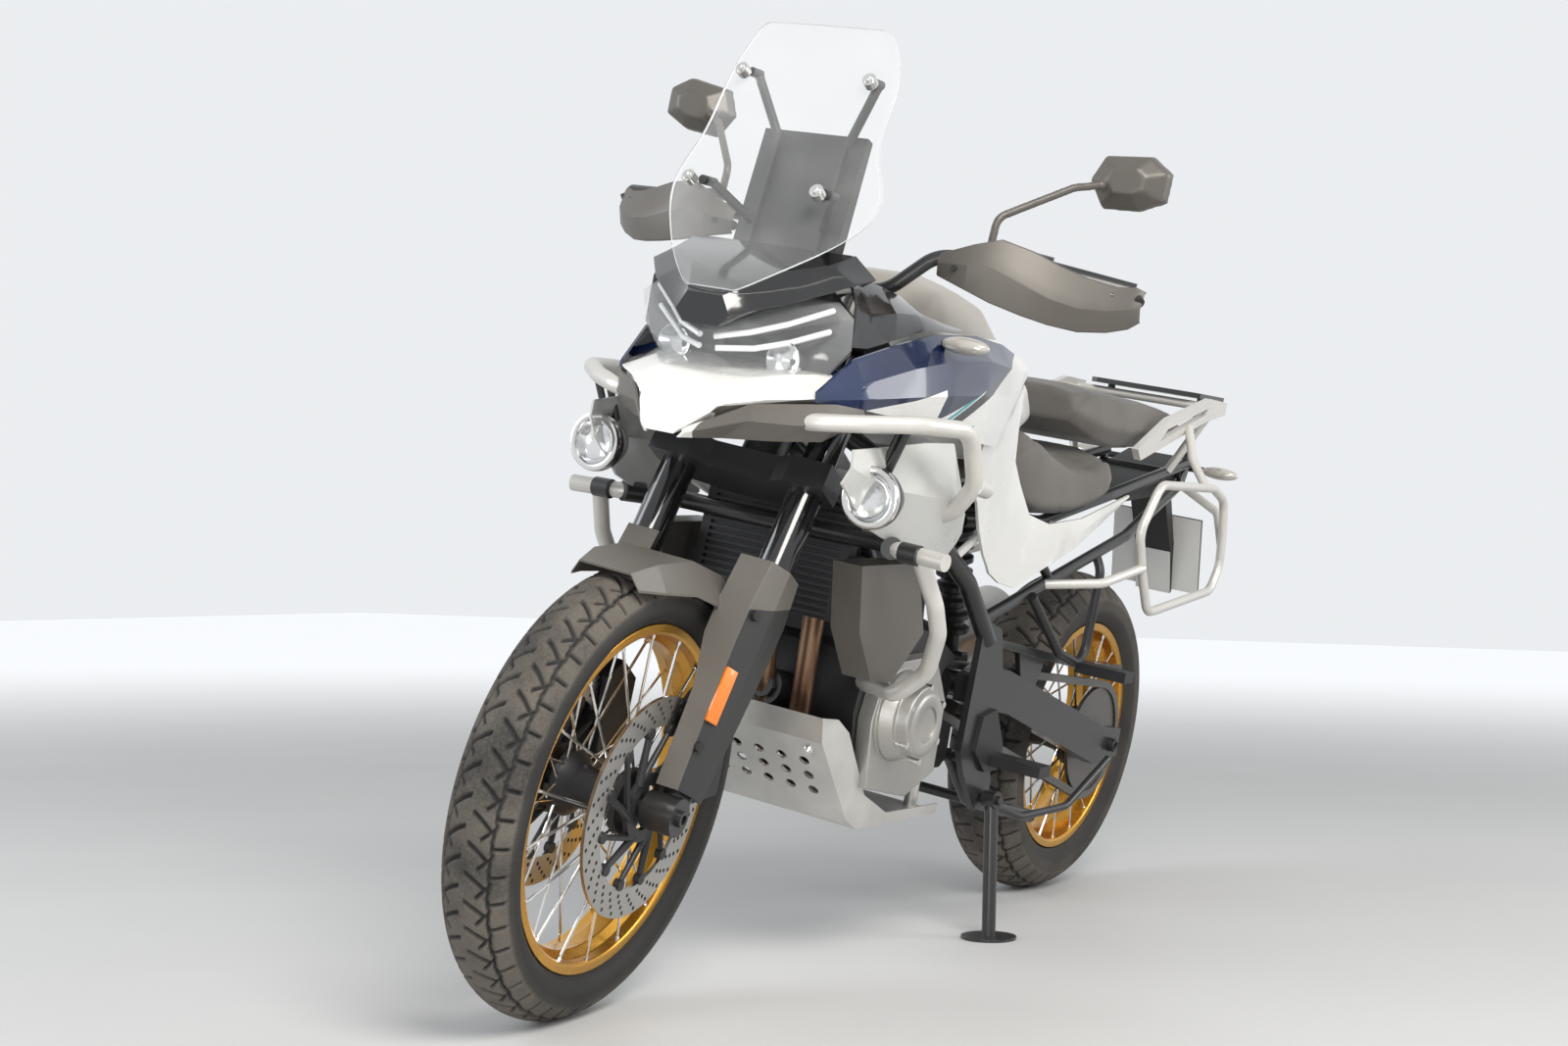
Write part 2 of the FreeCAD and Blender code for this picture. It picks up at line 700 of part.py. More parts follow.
# Front mudguard: an arch over the tyre and a guard down each fork leg
def mudguard_arch():
    gap = float(size("front_tyre_radius")) * 0.045
    inner = float(size("front_tyre_radius")) + gap
    half = float(size("front_tyre_width")) * 0.66
    wires = []
    wall = float(size("sheet_thickness"))
    for angle, width_share, drop_share in ((71, 0.74, 0.3), (80, 0.95, 0.5), (95, 1.04, 0.6),
                                           (112, 1.04, 0.6), (128, 0.95, 0.5), (148, 0.8, 0.35)):
        turn = math.radians(angle)
        out = Vector(math.cos(turn), 0, math.sin(turn))
        width = half * width_share
        drop = half * drop_share
        section = [(width, -drop), (width * 0.75, 0), (-width * 0.75, 0), (-width, -drop)]
        ring = [front_axle + out * (inner + rise) + Vector(0, y, 0) for y, rise in section]
        ring += [point + out * wall for point in reversed(ring)]
        wires.append(Part.makePolygon(ring + ring[:1]))
    arch = doc.addObject("Part::Feature", "mudguard_arch")
    arch.Shape = Part.makeLoft(wires, True, True)
    return arch


def fork_guard(name):
    """The tall guard ahead of and outside one leg, from the arch down to the axle."""
    clear = float(size("fork_outer_radius")) + float(size("seat_gap"))
    wall = float(size("panel_thickness"))
    reach = clear + wall
    wires = []
    for d, front_share, back_share, inner_share in (
            (3.75, 1.1, 0.4, 0.8), (5.2, 1.5, 0.9, 0.8), (6.0, 1.6, 1.2, 1.4),
            (6.6, 1.6, 1.3, 1.4), (7.3, 1.3, 0.9, 1.4)):
        up = float(grid) * d
        front = leg_n + reach * front_share
        back = leg_n - reach * back_share
        loop = [(front, leg_y - clear * inner_share), (front, leg_y + clear * 0.5),
                (leg_n + clear * 0.4, leg_y + reach), (back, leg_y + reach),
                (back, leg_y + clear), (leg_n + clear * 0.2, leg_y + clear),
                (front - wall, leg_y + clear * 0.3),
                (front - wall, leg_y - clear * inner_share)]
        ring = [along_fork(n, y, up) for n, y in loop]
        wires.append(Part.makePolygon(ring + ring[:1]))
    guard = doc.addObject("Part::Feature", f"{name}_shell")
    guard.Shape = Part.makeLoft(wires, True, True)
    legs = cylinder(f"{name}_leg_room", size("fork_outer_radius") + size("seat_gap"),
                    along_fork(leg_n, leg_y, 0), along_fork(leg_n, leg_y, outer_top))
    return cut(name, guard, [legs])


# Front calipers behind the legs
def front_caliper(name):
    middle = front_axle - axis_forward * (float(grid) * 0.66) + axis_up * (float(grid) * 1.25)
    body = make_body(f"{name}_block")
    outline_shares = [(-0.42, -0.75), (0.3, -0.8), (0.42, 0.6), (0.05, 0.85), (-0.42, 0.55)]
    outline = [(grid * u + middle.x, grid * v + middle.z) for u, v in outline_shares]
    sketch = make_sketch(body, "XZ_Plane", [outline], offset=-size("front_disc_offset") * 0.8)
    add_pad(body, sketch, size("fork_spread") - size("front_disc_offset") * 0.8, backwards=True)
    slot = doc.addObject("Part::Cylinder", f"{name}_slot")
    bind(slot, "Radius", size("front_disc_radius") + size("overrun") * 3)
    bind(slot, "Height", size("disc_thickness") + size("overrun") * 2)
    slot.Placement = Placement(
        front_axle + Vector(0, float(size("front_disc_offset") - size("disc_thickness") / 2
                                      - size("overrun")), 0),
        Rotation(Vector(0, 0, 1), Vector(0, 1, 0)))
    return cut(name, body, [slot, leg_room(f"{name}_leg_room")])


def leg_room(name):
    """The space of one whole fork leg with its axle lug."""
    leg = cylinder(f"{name}_tube", size("fork_slider_radius") + size("seat_gap"),
                   along_fork(leg_n, leg_y, 0), along_fork(leg_n, leg_y, outer_top))
    lug = cylinder(f"{name}_lug", size("fork_slider_radius") * 1.3 + size("seat_gap"),
                   front_axle, front_axle + spread * 2)
    return fuse(name, [leg, lug])


calipers = both_sides("front_caliper", front_caliper)
node("front_calipers", calipers, "steering")
arch = mudguard_arch()
fork_guards = both_sides("fork_guard", fork_guard)
arch_legs = both_sides("arch_leg_room", leg_room)
mudguard = cut("mudguard_body", fuse("mudguard_solid", [arch] + fork_guards), arch_legs)
node("front_mudguard", [mudguard], "steering")


# Frame: head tube, two rails to the pivot plates, down tubes to the engine
head_middle = along_fork(0, 0, float(grid) * 9.85)
head_half = axis_up * (float(size("head_tube_length")) / 2)
head_tube = cylinder("head_tube", size("head_tube_radius"), head_middle - head_half,
                     head_middle + head_half)
head_bore = cylinder("head_bore", size("steering_stem_radius") + size("bearing_gap"),
                     head_middle - head_half * 1.1, head_middle + head_half * 1.1)
frame_bend = float(grid) * 0.5
rail_shares = [(11.8, 0.2, 8.9), (11.1, 0.5, 8.75), (10.55, 1.15, 8.3), (7.6, 1.4, 6.5),
               (6.6, 1.47, 5.5)]
down_shares = [(11.95, 0.2, 8.45), (11.4, 0.5, 8.0), (11.0, 1.1, 7.3), (10.2, 1.3, 6.1)]


def frame_side(name):
    rail = tube(f"{name}_rail", [at(*share) for share in rail_shares],
                size("frame_tube_radius"), frame_bend)
    down = tube(f"{name}_down", [at(*share) for share in down_shares],
                size("frame_tube_radius") * 0.85, frame_bend)
    brace = cylinder(f"{name}_brace", size("frame_tube_radius") * 0.7, at(10.55, 1.18, 6.7),
                     at(8.6, 1.37, 7.05))
    plate_shares = [(6.9, 5.9), (6.2, 5.7), (5.9, 5.0), (5.95, 3.6), (5.6, 3.0), (5.62, 2.5),
                    (6.1, 2.5), (6.75, 3.2), (7.0, 3.6), (6.95, 4.6)]
    plate = side_plate(f"{name}_pivot_plate", [on_grid(plate_shares)], grid * 1.41, grid * 0.12)
    return fuse(name, [rail, down, brace, plate])


frame_sides = both_sides("frame_side", frame_side)
pivot = at(6.35, 0, 4.64)
pivot_shaft = cylinder("pivot_shaft", size("rear_axle_radius"), pivot - at(0, 1.53, 0),
                       pivot + at(0, 1.53, 0))
nose_bracket = cylinder("nose_bracket", size("frame_tube_radius"), head_middle,
                        along_fork(float(grid) * 1.5, 0, float(grid) * 9.85))

# Pins of the two stands: across between the pivot plates, and out from the left one
centre_pivot = at(6.2, 0, 3.35)
stand_pin_radius = size("stand_leg_radius") * 0.65
centre_pin = cylinder("centre_pin", stand_pin_radius, centre_pivot - at(0, 1.45, 0),
                      centre_pivot + at(0, 1.45, 0))
stand_pivot = at(5.85, 1.72, 2.72)
stand_axis = Vector(0.1407, 0.9813, 0.1314).normalize()
stand_pin = cylinder("stand_pin", stand_pin_radius, stand_pivot - stand_axis * (float(grid) * 0.26),
                     stand_pivot + stand_axis * (float(grid) * 0.2))
frame_solid = fuse("frame_solid", [head_tube, nose_bracket, pivot_shaft, centre_pin, stand_pin]
                   + frame_sides)
frame = cut("frame_body", frame_solid, [head_bore])
node("main_frame", [frame], "chassis")

# Chain: one fixed loop round both sprockets
front_sprocket_centre = at(7.0, 0, 4.6)


def chain_outline(shift):
    """The loop's outline, moved in or out from the pitch line."""
    rear_r = float(size("rear_sprocket_radius")) + shift
    front_r = float(size("front_sprocket_radius")) + shift
    line = front_sprocket_centre - rear_axle
    span = math.hypot(line.x, line.z)
    rise = math.atan2(line.z, line.x)
    spread_angle = math.acos((rear_r - front_r) / span)

    def rim(centre, radius, angle):
        return centre + Vector(math.cos(angle) * radius, 0, math.sin(angle) * radius)

    top_rear = rim(rear_axle, rear_r, rise + spread_angle)
    top_front = rim(front_sprocket_centre, front_r, rise + spread_angle)
    low_front = rim(front_sprocket_centre, front_r, rise - spread_angle)
    low_rear = rim(rear_axle, rear_r, rise - spread_angle)
    nose = rim(front_sprocket_centre, front_r, rise)
    tail_end = rim(rear_axle, rear_r, rise + math.pi)
    return Part.Wire([
        Part.LineSegment(top_rear, top_front).toShape(),
        Part.Arc(top_front, nose, low_front).toShape(),
        Part.LineSegment(low_front, low_rear).toShape(),
        Part.Arc(low_rear, tail_end, top_rear).toShape(),
    ])


half_chain = float(size("chain_height")) / 2
chain_pitch_line = chain_outline(0)
link_count = 2 * round(chain_pitch_line.Length / float(size("chain_pitch")) / 2)
chain_pins = chain_pitch_line.discretize(Number=link_count + 1)[:-1]


def chain_edge(shift):
    """A face bounded by one straight edge per link, moved out or in from the pins."""
    corners = []
    for number, pin in enumerate(chain_pins):
        along = chain_pins[(number + 1) % link_count] - chain_pins[number - 1]
        outward = Vector(along.z, 0, -along.x).normalize()
        corners.append(pin - outward * shift)
    return Part.Face(Part.makePolygon(corners + corners[:1]))


def chain_plate(start_share):
    face = chain_edge(half_chain).cut(chain_edge(-half_chain))
    face.translate(Vector(0, float(size("chain_width")) * start_share, 0))
    return face.extrude(Vector(0, float(size("chain_width")) * 0.2, 0))


def chain_roller(pin):
    """A pin with its roller as a six-sided bar across both plates."""
    radius = float(size("chain_roller_radius"))
    corners = [pin + Vector(math.cos(turn) * radius, 0, math.sin(turn) * radius)
               for turn in (math.pi * corner / 3 for corner in range(6))]
    face = Part.Face(Part.makePolygon(corners + corners[:1]))
    return face.extrude(Vector(0, float(size("chain_width")), 0))


chain_loop = doc.addObject("Part::Feature", "chain_loop")
chain_loop.Shape = chain_plate(0).multiFuse([chain_plate(0.8)]
                                            + [chain_roller(pin) for pin in chain_pins])
chain_loop.Placement = Placement(Vector(0, float(size("chain_offset") - size("chain_width") / 2),
                                        0), Rotation())
room_start = Vector(0, float(size("chain_offset") - size("chain_width")), 0)
chain_room = doc.addObject("Part::Feature", "chain_room")
chain_room.Shape = Part.Face(chain_outline(half_chain * 1.6)).extrude(at(0, 1, 0))
chain_room.Placement = Placement(room_start, Rotation())
flat_share = math.cos(float(size("chain_pitch") / size("front_sprocket_radius")) / 2)
drive_sprocket = cylinder("drive_sprocket",
                          (size("front_sprocket_radius") - chain_drop) * flat_share,
                          front_sprocket_centre + room_start - at(0, 0.1, 0),
                          front_sprocket_centre
                          + Vector(0, float(size("chain_offset") + size("chain_width") / 4), 0))
node("drive_chain", [chain_loop], "chassis")

# Engine: crankcase, cylinder block and head as one mass, with the pipes' ports in front
engine_half = size("engine_width") / 2
case_shares = [(6.75, 3.4), (6.95, 3.25), (9.85, 3.25), (10.15, 3.6), (10.3, 4.4), (10.1, 5.3),
               (9.9, 5.5), (7.9, 5.6), (7.1, 5.2), (6.75, 4.1)]
case = make_body("crankcase")
add_pad(case, make_sketch(case, "XZ_Plane", [on_grid(case_shares)]), size("engine_width"), True)
block_shares = [(7.95, 5.4), (9.95, 5.3), (10.35, 7.6), (10.2, 7.95), (8.55, 8.0), (8.3, 7.7)]
block = make_body("cylinder_block")
add_pad(block, make_sketch(block, "XZ_Plane", [on_grid(block_shares)]),
        size("engine_width") * 0.8, True)
pivot_room = cylinder("pivot_room", size("rear_axle_radius") * 2.6, pivot - at(0, 2, 0),
                      pivot + at(0, 2, 0))
engine_solid = fuse("engine_solid", [case, block])
engine_open = cut("engine_open", engine_solid, [pivot_room, chain_room])
engine = fuse("engine_body", [engine_open, drive_sprocket])
node("engine", [engine], "chassis")


def round_cover(name, x_share, z_share, radius_share, depth_share, side):
    """A turned cover bolted on the crankcase's side."""
    radius = float(grid) * radius_share
    depth = float(grid) * depth_share
    profile = [(0, 0), (radius, 0), (radius, depth * 0.45), (radius * 0.86, depth * 0.72),
               (radius * 0.8, depth * 0.72), (radius * 0.74, depth), (0, depth)]
    wire = Part.makePolygon([Vector(u, 0, v) for u, v in profile + profile[:1]])
    disc = Part.Face(wire).revolve(Vector(), Vector(0, 0, 1), 360)
    made = doc.addObject("Part::Feature", name)
    made.Shape = disc
    made.Placement = Placement(at(x_share, 0, z_share) + Vector(0, side * float(engine_half), 0),
                               Rotation(Vector(0, 0, 1), Vector(0, side, 0)))
    return made


alternator_cover = round_cover("alternator_cover_turned", 9.3, 4.36, 0.75, 0.75, 1)
clutch_cover = round_cover("clutch_cover_turned", 8.9, 4.2, 0.95, 0.6, -1)
case_cover_shares = [(7.7, 3.3), (8.6, 2.95), (10.0, 3.2), (10.15, 4.3), (9.9, 5.2), (8.3, 5.3),
                     (7.7, 4.5)]
left_cover = side_plate("left_cover", [on_grid(case_cover_shares)], engine_half, grid * 0.28)
right_cover_source = side_plate("right_cover_source", [on_grid(case_cover_shares)], engine_half,
                                grid * 0.28)
right_cover = mirror("right_cover", right_cover_source)
left_covers = fuse("left_covers", [alternator_cover, left_cover])
right_covers = fuse("right_covers", [clutch_cover, right_cover])
node("engine_covers", [left_covers, right_covers], "chassis")

# Exhaust: two pipes down the front of the engine into a collector and a silencer on the right
pipe_radius = size("exhaust_pipe_radius")


def header(name, side):
    y = 0.1 + 0.45 * side
    points = [at(10.2, y, 7.0), at(10.75, y, 6.9), at(10.95, y * 0.95, 6.2),
              at(10.75, y * 0.8, 4.6), at(10.45, y * 0.5, 3.4), at(9.7, -0.3 + y * 0.35, 2.93)]
    return tube(name, points, pipe_radius, float(grid) * 0.6)


silencer_start = at(3.9, -2.1, 3.3)
silencer_end = at(-1.4, -2.3, 5.1)
collector = tube("collector", [at(10.0, -0.28, 2.93), at(8.3, -0.5, 2.9), at(7.1, -1.85, 2.95),
                               at(5.0, -2.1, 3.05), silencer_start],
                 pipe_radius * 1.45, float(grid) * 0.6)
headers_solid = fuse("headers_solid", [header("header_left", 1), header("header_right", -1),
                                       collector])
headers = cut("headers_body", headers_solid, [engine_solid])
silencer_body = cylinder("silencer_body", size("silencer_radius"), silencer_start,
                         silencer_end)
silencer_can = cut("silencer_can", silencer_body, [collector])
tail_pipe = cylinder("tail_pipe", pipe_radius, silencer_end,
                     silencer_end + (silencer_end - silencer_start) * 0.06)
tail_bore = cylinder("tail_bore", pipe_radius * 0.85, silencer_end
                     - (silencer_end - silencer_start) * 0.05,
                     silencer_end + (silencer_end - silencer_start) * 0.1)
silencer = cut("silencer_open", fuse("silencer_solid", [silencer_can, tail_pipe]), [tail_bore])
node("exhaust", [headers, silencer], "chassis")

# Skid plate: a folded sheet under the engine with rows of holes
skid_wall = size("sheet_thickness")
skid_side_shares = [(11.5, 4.4), (11.4, 4.0), (10.25, 2.7), (9.85, 2.5), (7.1, 2.5),
                    (7.05, 2.66), (8.9, 2.68), (9.75, 3.05), (10.6, 4.12), (11.0, 4.35)]
skid_half = grid * 1.3
skid = make_body("skid_shell")
add_pad(skid, make_sketch(skid, "XZ_Plane", [on_grid(skid_side_shares)]), skid_half * 2, True)
skid_room = make_body("skid_room")
room_shares = [(11.6, 4.75), (11.35, 4.02), (10.22, 2.74), (9.83, 2.55), (6.9, 2.55),
               (6.9, 3.0), (10.9, 4.8)]
add_pad(skid_room, make_sketch(skid_room, "XZ_Plane", [on_grid(room_shares)]),
        (skid_half - skid_wall) * 2, True)
skid_lugs = []
for lug_number, x_share in enumerate((9.5, 7.3)):
    for lug_side in (-1, 1):
        skid_lugs.append(cylinder(f"skid_lug_{lug_number}_{lug_side + 1}",
                                  size("frame_tube_radius") * 0.7,
                                  at(x_share, 0.9 * lug_side, 2.52),
                                  at(x_share, 0.9 * lug_side, 3.4)))
skid_holes = []
for row, (x_share, z_share) in enumerate(((11.05, 3.6), (10.83, 3.35), (10.6, 3.1))):
    for column in range(-2, 3):
        skid_holes.append(cylinder(f"skid_hole_{row}_{column + 2}", grid * 0.09,
                                   at(x_share + 0.1, 0.42 * column, z_share - 0.1),
                                   at(x_share - 0.1, 0.42 * column, z_share + 0.1)))
skid_plate = cut("skid_plate_body", fuse("skid_solid", [cut("skid_open", skid, [skid_room])]
                                         + skid_lugs),
                 [engine_solid, headers, left_covers, right_covers] + skid_holes)
node("skid_plate", [skid_plate], "chassis")

# Radiator: finned core between two end tanks
radiator_half = grid * 1.35
radiator_shares = [(11.56, 7.62), (11.8, 5.9), (11.58, 5.88), (11.34, 7.6)]
fin_count = 16
fin_depth_share = 0.06
(front_top_x, front_top_z), (front_low_x, front_low_z) = radiator_shares[:2]
fin_shares = [radiator_shares[2], radiator_shares[3]]
for step in range(fin_count * 2):
    for edge in (step, step + 1):
        share = edge / (fin_count * 2)
        fin_shares.append((front_top_x + (front_low_x - front_top_x) * share
                           - fin_depth_share * (step % 2),
                           front_top_z + (front_low_z - front_top_z) * share))
core = make_body("radiator_core")
add_pad(core, make_sketch(core, "XZ_Plane", [on_grid(fin_shares)]), radiator_half * 1.8, True)
end_tanks = []
for side in (-1, 1):
    tank_end = make_body(f"radiator_tank_{side + 1}")
    tank_sketch = make_sketch(tank_end, "XZ_Plane", [on_grid(radiator_shares)],
                              offset=-radiator_half * 0.94 * side)
    add_pad(tank_end, tank_sketch, radiator_half * 0.12, True)
    end_tanks.append(tank_end)
radiator_arms = [cylinder(f"radiator_arm_{side + 1}", size("frame_tube_radius") * 0.6,
                          at(11.55, side * 1.15, 6.8), at(10.7, side * 1.17, 6.8))
                 for side in (-1, 1)]
radiator = cut("radiator_body", fuse("radiator_solid", [core] + end_tanks + radiator_arms), [frame_solid])
node("radiator", [radiator], "chassis")

# Fuel tank between the fairing and the seat
tank_table = [
    (5.3, [(0.6, 9.0), (0.95, 9.35), (0.8, 9.85), (0.3, 10.0)]),
    (6.4, [(0.9, 8.6), (1.4, 9.35), (1.0, 10.12), (0.4, 10.37)]),
    (7.8, [(1.1, 8.5), (1.78, 9.55), (1.22, 10.6), (0.45, 10.98)]),
    (8.5, [(1.2, 8.55), (1.86, 9.75), (1.28, 10.95), (0.5, 11.26)]),
    (9.4, [(1.2, 8.75), (1.9, 9.9), (1.28, 11.12), (0.45, 11.35)]),
    (10.0, [(1.15, 8.85), (1.9, 10.0), (1.22, 11.08), (0.45, 11.28)]),
    (10.35, [(1.1, 8.9), (1.88, 10.0), (1.18, 10.58), (0.45, 10.72)]),
    (10.65, [(0.8, 9.3), (1.6, 9.85), (1.0, 10.35), (0.4, 10.5)]),
]
tank_shell = symmetric_loft("tank_shell", tank_table)
node("fuel_tank", [tank_shell], "chassis")
room_share = size("seat_gap") / grid

# Seats
rider_table = [
    (6.75, [(0.7, 8.3), (1.25, 8.1), (1.46, 8.25), (1.44, 8.6), (0.5, 8.9)]),
    (6.2, [(0.7, 8.2), (1.25, 7.78), (1.52, 7.95), (1.44, 8.8), (0.5, 9.1)]),
    (5.6, [(0.7, 8.15), (1.25, 7.68), (1.55, 7.85), (1.42, 8.9), (0.5, 9.25)]),
    (5.0, [(0.7, 8.1), (1.3, 7.68), (1.57, 7.85), (1.4, 8.7), (0.55, 9.0)]),
    (4.2, [(0.8, 8.05), (1.35, 7.72), (1.58, 7.9), (1.42, 8.5), (0.6, 8.75)]),
    (3.2, [(0.8, 8.1), (1.4, 7.9), (1.58, 8.1), (1.42, 8.5), (0.6, 8.7)]),
    (2.6, [(0.8, 8.2), (1.35, 8.05), (1.52, 8.25), (1.38, 8.68), (0.6, 8.86)]),
    (2.3, [(0.8, 8.4), (1.25, 8.3), (1.42, 8.45), (1.3, 8.72), (0.6, 8.88)]),
]
seat_room = symmetric_loft("rider_seat_room", [
    (x, [(half[0][0] + room_share, half[0][1] - room_share)]
     + [(y + room_share, z) for y, z in half[1:-1]]
     + [(half[-1][0] + room_share, half[-1][1] + room_share)])
    for x, half in [(tank_table[0][0] - room_share, tank_table[0][1])] + tank_table[1:]])
rider_seat = cut("rider_seat_body", symmetric_loft("rider_seat_cushion", rider_table),
                 [seat_room])
node("rider_seat", [rider_seat], "chassis")
passenger_table = [
    (3.6, [(0.9, 9.35), (1.05, 9.6), (0.85, 9.85), (0.4, 9.92)]),
    (2.95, [(1.1, 9.1), (1.3, 9.4), (1.1, 9.92), (0.4, 10.02)]),
    (1.9, [(1.15, 8.98), (1.38, 9.35), (1.15, 9.88), (0.4, 9.98)]),
    (-0.6, [(1.15, 9.15), (1.32, 9.5), (1.1, 9.8), (0.4, 9.9)]),
    (-1.7, [(0.9, 9.3), (1.05, 9.5), (0.85, 9.72), (0.3, 9.78)]),
]
passenger_seat = symmetric_loft("passenger_seat_cushion", passenger_table)
node("passenger_seat", [passenger_seat], "chassis")

# Subframe under the seats
sub_bend = float(grid) * 0.5


def subframe_side(name):
    lower = tube(f"{name}_lower", [at(6.6, 1.25, 5.8), at(0.84, 1.25, 7.35), at(-2.4, 0.9, 8.4)],
                 size("subframe_tube_radius"), sub_bend)
    upper = tube(f"{name}_upper", [at(7.7, 1.15, 7.5), at(4.6, 1.15, 7.55), at(1.6, 1.1, 8.1),
                                   at(-2.6, 0.9, 8.85)],
                 size("subframe_tube_radius"), sub_bend)
    strut = cylinder(f"{name}_strut", size("subframe_tube_radius") * 0.8, at(4.0, 1.25, 6.5),
                     at(5.4, 1.15, 7.53))
    tail = cylinder(f"{name}_tail", size("subframe_tube_radius") * 0.8, at(-2.4, 0.9, 8.4),
                    at(-2.6, 0.9, 8.85))
    return fuse(name, [lower, upper, strut, tail])


subframe_sides = both_sides("subframe_side", subframe_side)
cross_places = [(1.6, 1.1, 8.1), (-2.4, 0.9, 8.6), (4.6, 1.15, 7.55)]
crosses = [cylinder(f"subframe_cross_{i}", size("subframe_tube_radius") * 0.8,
                    at(x, -y, z), at(x, y, z)) for i, (x, y, z) in enumerate(cross_places)]
subframe_solid = fuse("subframe_solid", subframe_sides + crosses)
subframe = cut("subframe_body", subframe_solid, [frame_solid, engine_solid, rider_seat,
                                                passenger_seat])
node("subframe", [subframe], "chassis")


def faceted_panel(name, rows, wall_share=1.0):
    """A panel lofted through rows that each lie square to the machine's length: a row is x and
    its outer points from low to high, and the inside lies one wall nearer the middle."""
    wall = Vector(0, -float(size("panel_thickness")) * wall_share, 0)
    wires = []
    for x, row in rows:
        ring = [at(x, y, z) for y, z in row]
        ring += [point + wall for point in reversed(ring)]
        wires.append(Part.makePolygon(ring + ring[:1]))
    panel = doc.addObject("Part::Feature", name)
    panel.Shape = Part.makeLoft(wires, True, True)
    return panel


# White side covers from the tank's knee down to the seat's tail
def side_cover(name):
    rows = [
        (9.3, [(2.0, 8.25), (2.06, 8.6), (2.12, 8.95)]),
        (8.8, [(1.92, 7.9), (2.0, 8.5), (2.1, 9.15)]),
        (8.4, [(1.84, 7.45), (1.94, 8.5), (2.04, 9.4)]),
        (7.95, [(1.77, 7.05), (1.88, 8.3), (1.99, 9.85)]),
        (7.7, [(1.74, 6.88), (1.84, 8.0), (1.9, 9.1)]),
        (7.5, [(1.72, 6.72), (1.8, 7.8), (1.84, 8.62)]),
        (7.0, [(1.68, 6.55), (1.76, 7.45), (1.76, 8.25)]),
        (6.3, [(1.65, 6.45), (1.7, 7.15), (1.7, 7.73)]),
        (5.4, [(1.64, 6.72), (1.69, 7.22), (1.69, 7.58)]),
        (4.0, [(1.64, 7.16), (1.68, 7.45), (1.68, 7.7)]),
        (1.9, [(1.6, 8.1), (1.63, 8.14), (1.63, 8.18)]),
    ]
    return faceted_panel(name, rows)


def seated(name, panels, stays, carriers):
    """Panels, left and right, each with its own stays that end on what carries it."""
    made = []
    for index, (panel, side) in enumerate(zip(panels, (1, -1))):
        posts = [cylinder(f"{name}_stay_{index}_{number}", size("stay_radius"),
                          at(start[0], start[1] * side, start[2]), at(end[0], end[1] * side, end[2]))
                 for number, (start, end) in enumerate(stays)]
        made.append(cut(f"{name}_seated_{index}", fuse(f"{name}_whole_{index}", [panel] + posts),
                        carriers))
    return made


cover_stays = [((4.4, 1.66, 7.48), (4.4, 1.15, 7.52)), ((8.0, 1.78, 7.5), (8.2, 1.35, 6.87))]
side_covers = seated("side_cover", both_sides("side_cover", side_cover), cover_stays,
                     [subframe_solid, frame_solid, rider_seat, tank_shell])
node("side_covers", side_covers, "chassis")


# Blue side fairings beside the tank, from the lamp to the rear tip
def side_fairing(name):
    rows = [
        (13.95, [(1.7, 9.16), (1.73, 9.2), (1.73, 9.25), (1.71, 9.3)]),
        (13.3, [(2.05, 9.16), (2.09, 9.3), (2.02, 9.52), (1.84, 9.84)]),
        (12.3, [(2.28, 9.1), (2.4, 9.45), (2.3, 9.85), (1.96, 10.16)]),
        (11.3, [(2.32, 9.05), (2.48, 9.55), (2.36, 10.05), (2.0, 10.4)]),
        (10.0, [(2.28, 8.88), (2.4, 9.65), (2.32, 10.15), (2.0, 10.5)]),
        (9.0, [(2.15, 8.85), (2.26, 9.65), (2.22, 10.1), (1.98, 10.45)]),
        (8.35, [(2.06, 9.42), (2.13, 9.85), (2.12, 10.1), (1.98, 10.3)]),
        (8.0, [(2.0, 9.95), (2.03, 10.05), (2.02, 10.12), (1.97, 10.2)]),
    ]
    return faceted_panel(name, rows)


fairing_stays = [((10.0, 2.38, 9.7), (10.0, 1.5, 9.7)), ((13.25, 2.05, 9.4), (13.25, 1.2, 9.7))]


# Light deflectors behind the fog lamps and dark shrouds beside the radiator
def deflector(name):
    rows = [
        (13.7, [(2.2, 8.1), (2.32, 8.35), (2.3, 8.6)]),
        (12.9, [(2.25, 7.5), (2.5, 8.1), (2.42, 8.7)]),
        (11.9, [(2.35, 7.2), (2.66, 8.05), (2.5, 8.82)]),
        (11.1, [(2.4, 7.15), (2.68, 8.0), (2.5, 8.85)]),
        (10.5, [(2.4, 7.15), (2.58, 7.8), (2.46, 8.15)]),
        (10.3, [(2.4, 7.3), (2.48, 7.5), (2.44, 7.7)]),
    ]
    return faceted_panel(name, rows, 0.8)


def radiator_shroud(name):
    outline_shares = [(12.45, 6.9), (10.7, 6.95), (10.15, 5.85), (10.95, 5.1), (11.6, 5.15),
                      (12.2, 5.9)]
    return side_plate(name, [on_grid(outline_shares)], radiator_half + grid * 0.2,
                      grid * 0.5)


shrouds = both_sides("radiator_shroud", radiator_shroud)

# Nose: white beak over grey side pieces that reach back to the fairings
nose_table = [
    (15.18, [(0.24, 8.42), (0.33, 8.5), (0.22, 8.6)]),
    (14.76, [(0.5, 8.68), (0.74, 8.94), (0.5, 9.03)]),
    (14.35, [(0.9, 8.85), (1.2, 9.1), (0.75, 9.32)]),
    (13.95, [(1.3, 8.98), (1.7, 9.2), (1.1, 9.46)]),
    (13.3, [(1.55, 9.1), (1.95, 9.3), (1.5, 9.58)]),
]
nose_solid = symmetric_loft("nose_solid", nose_table)


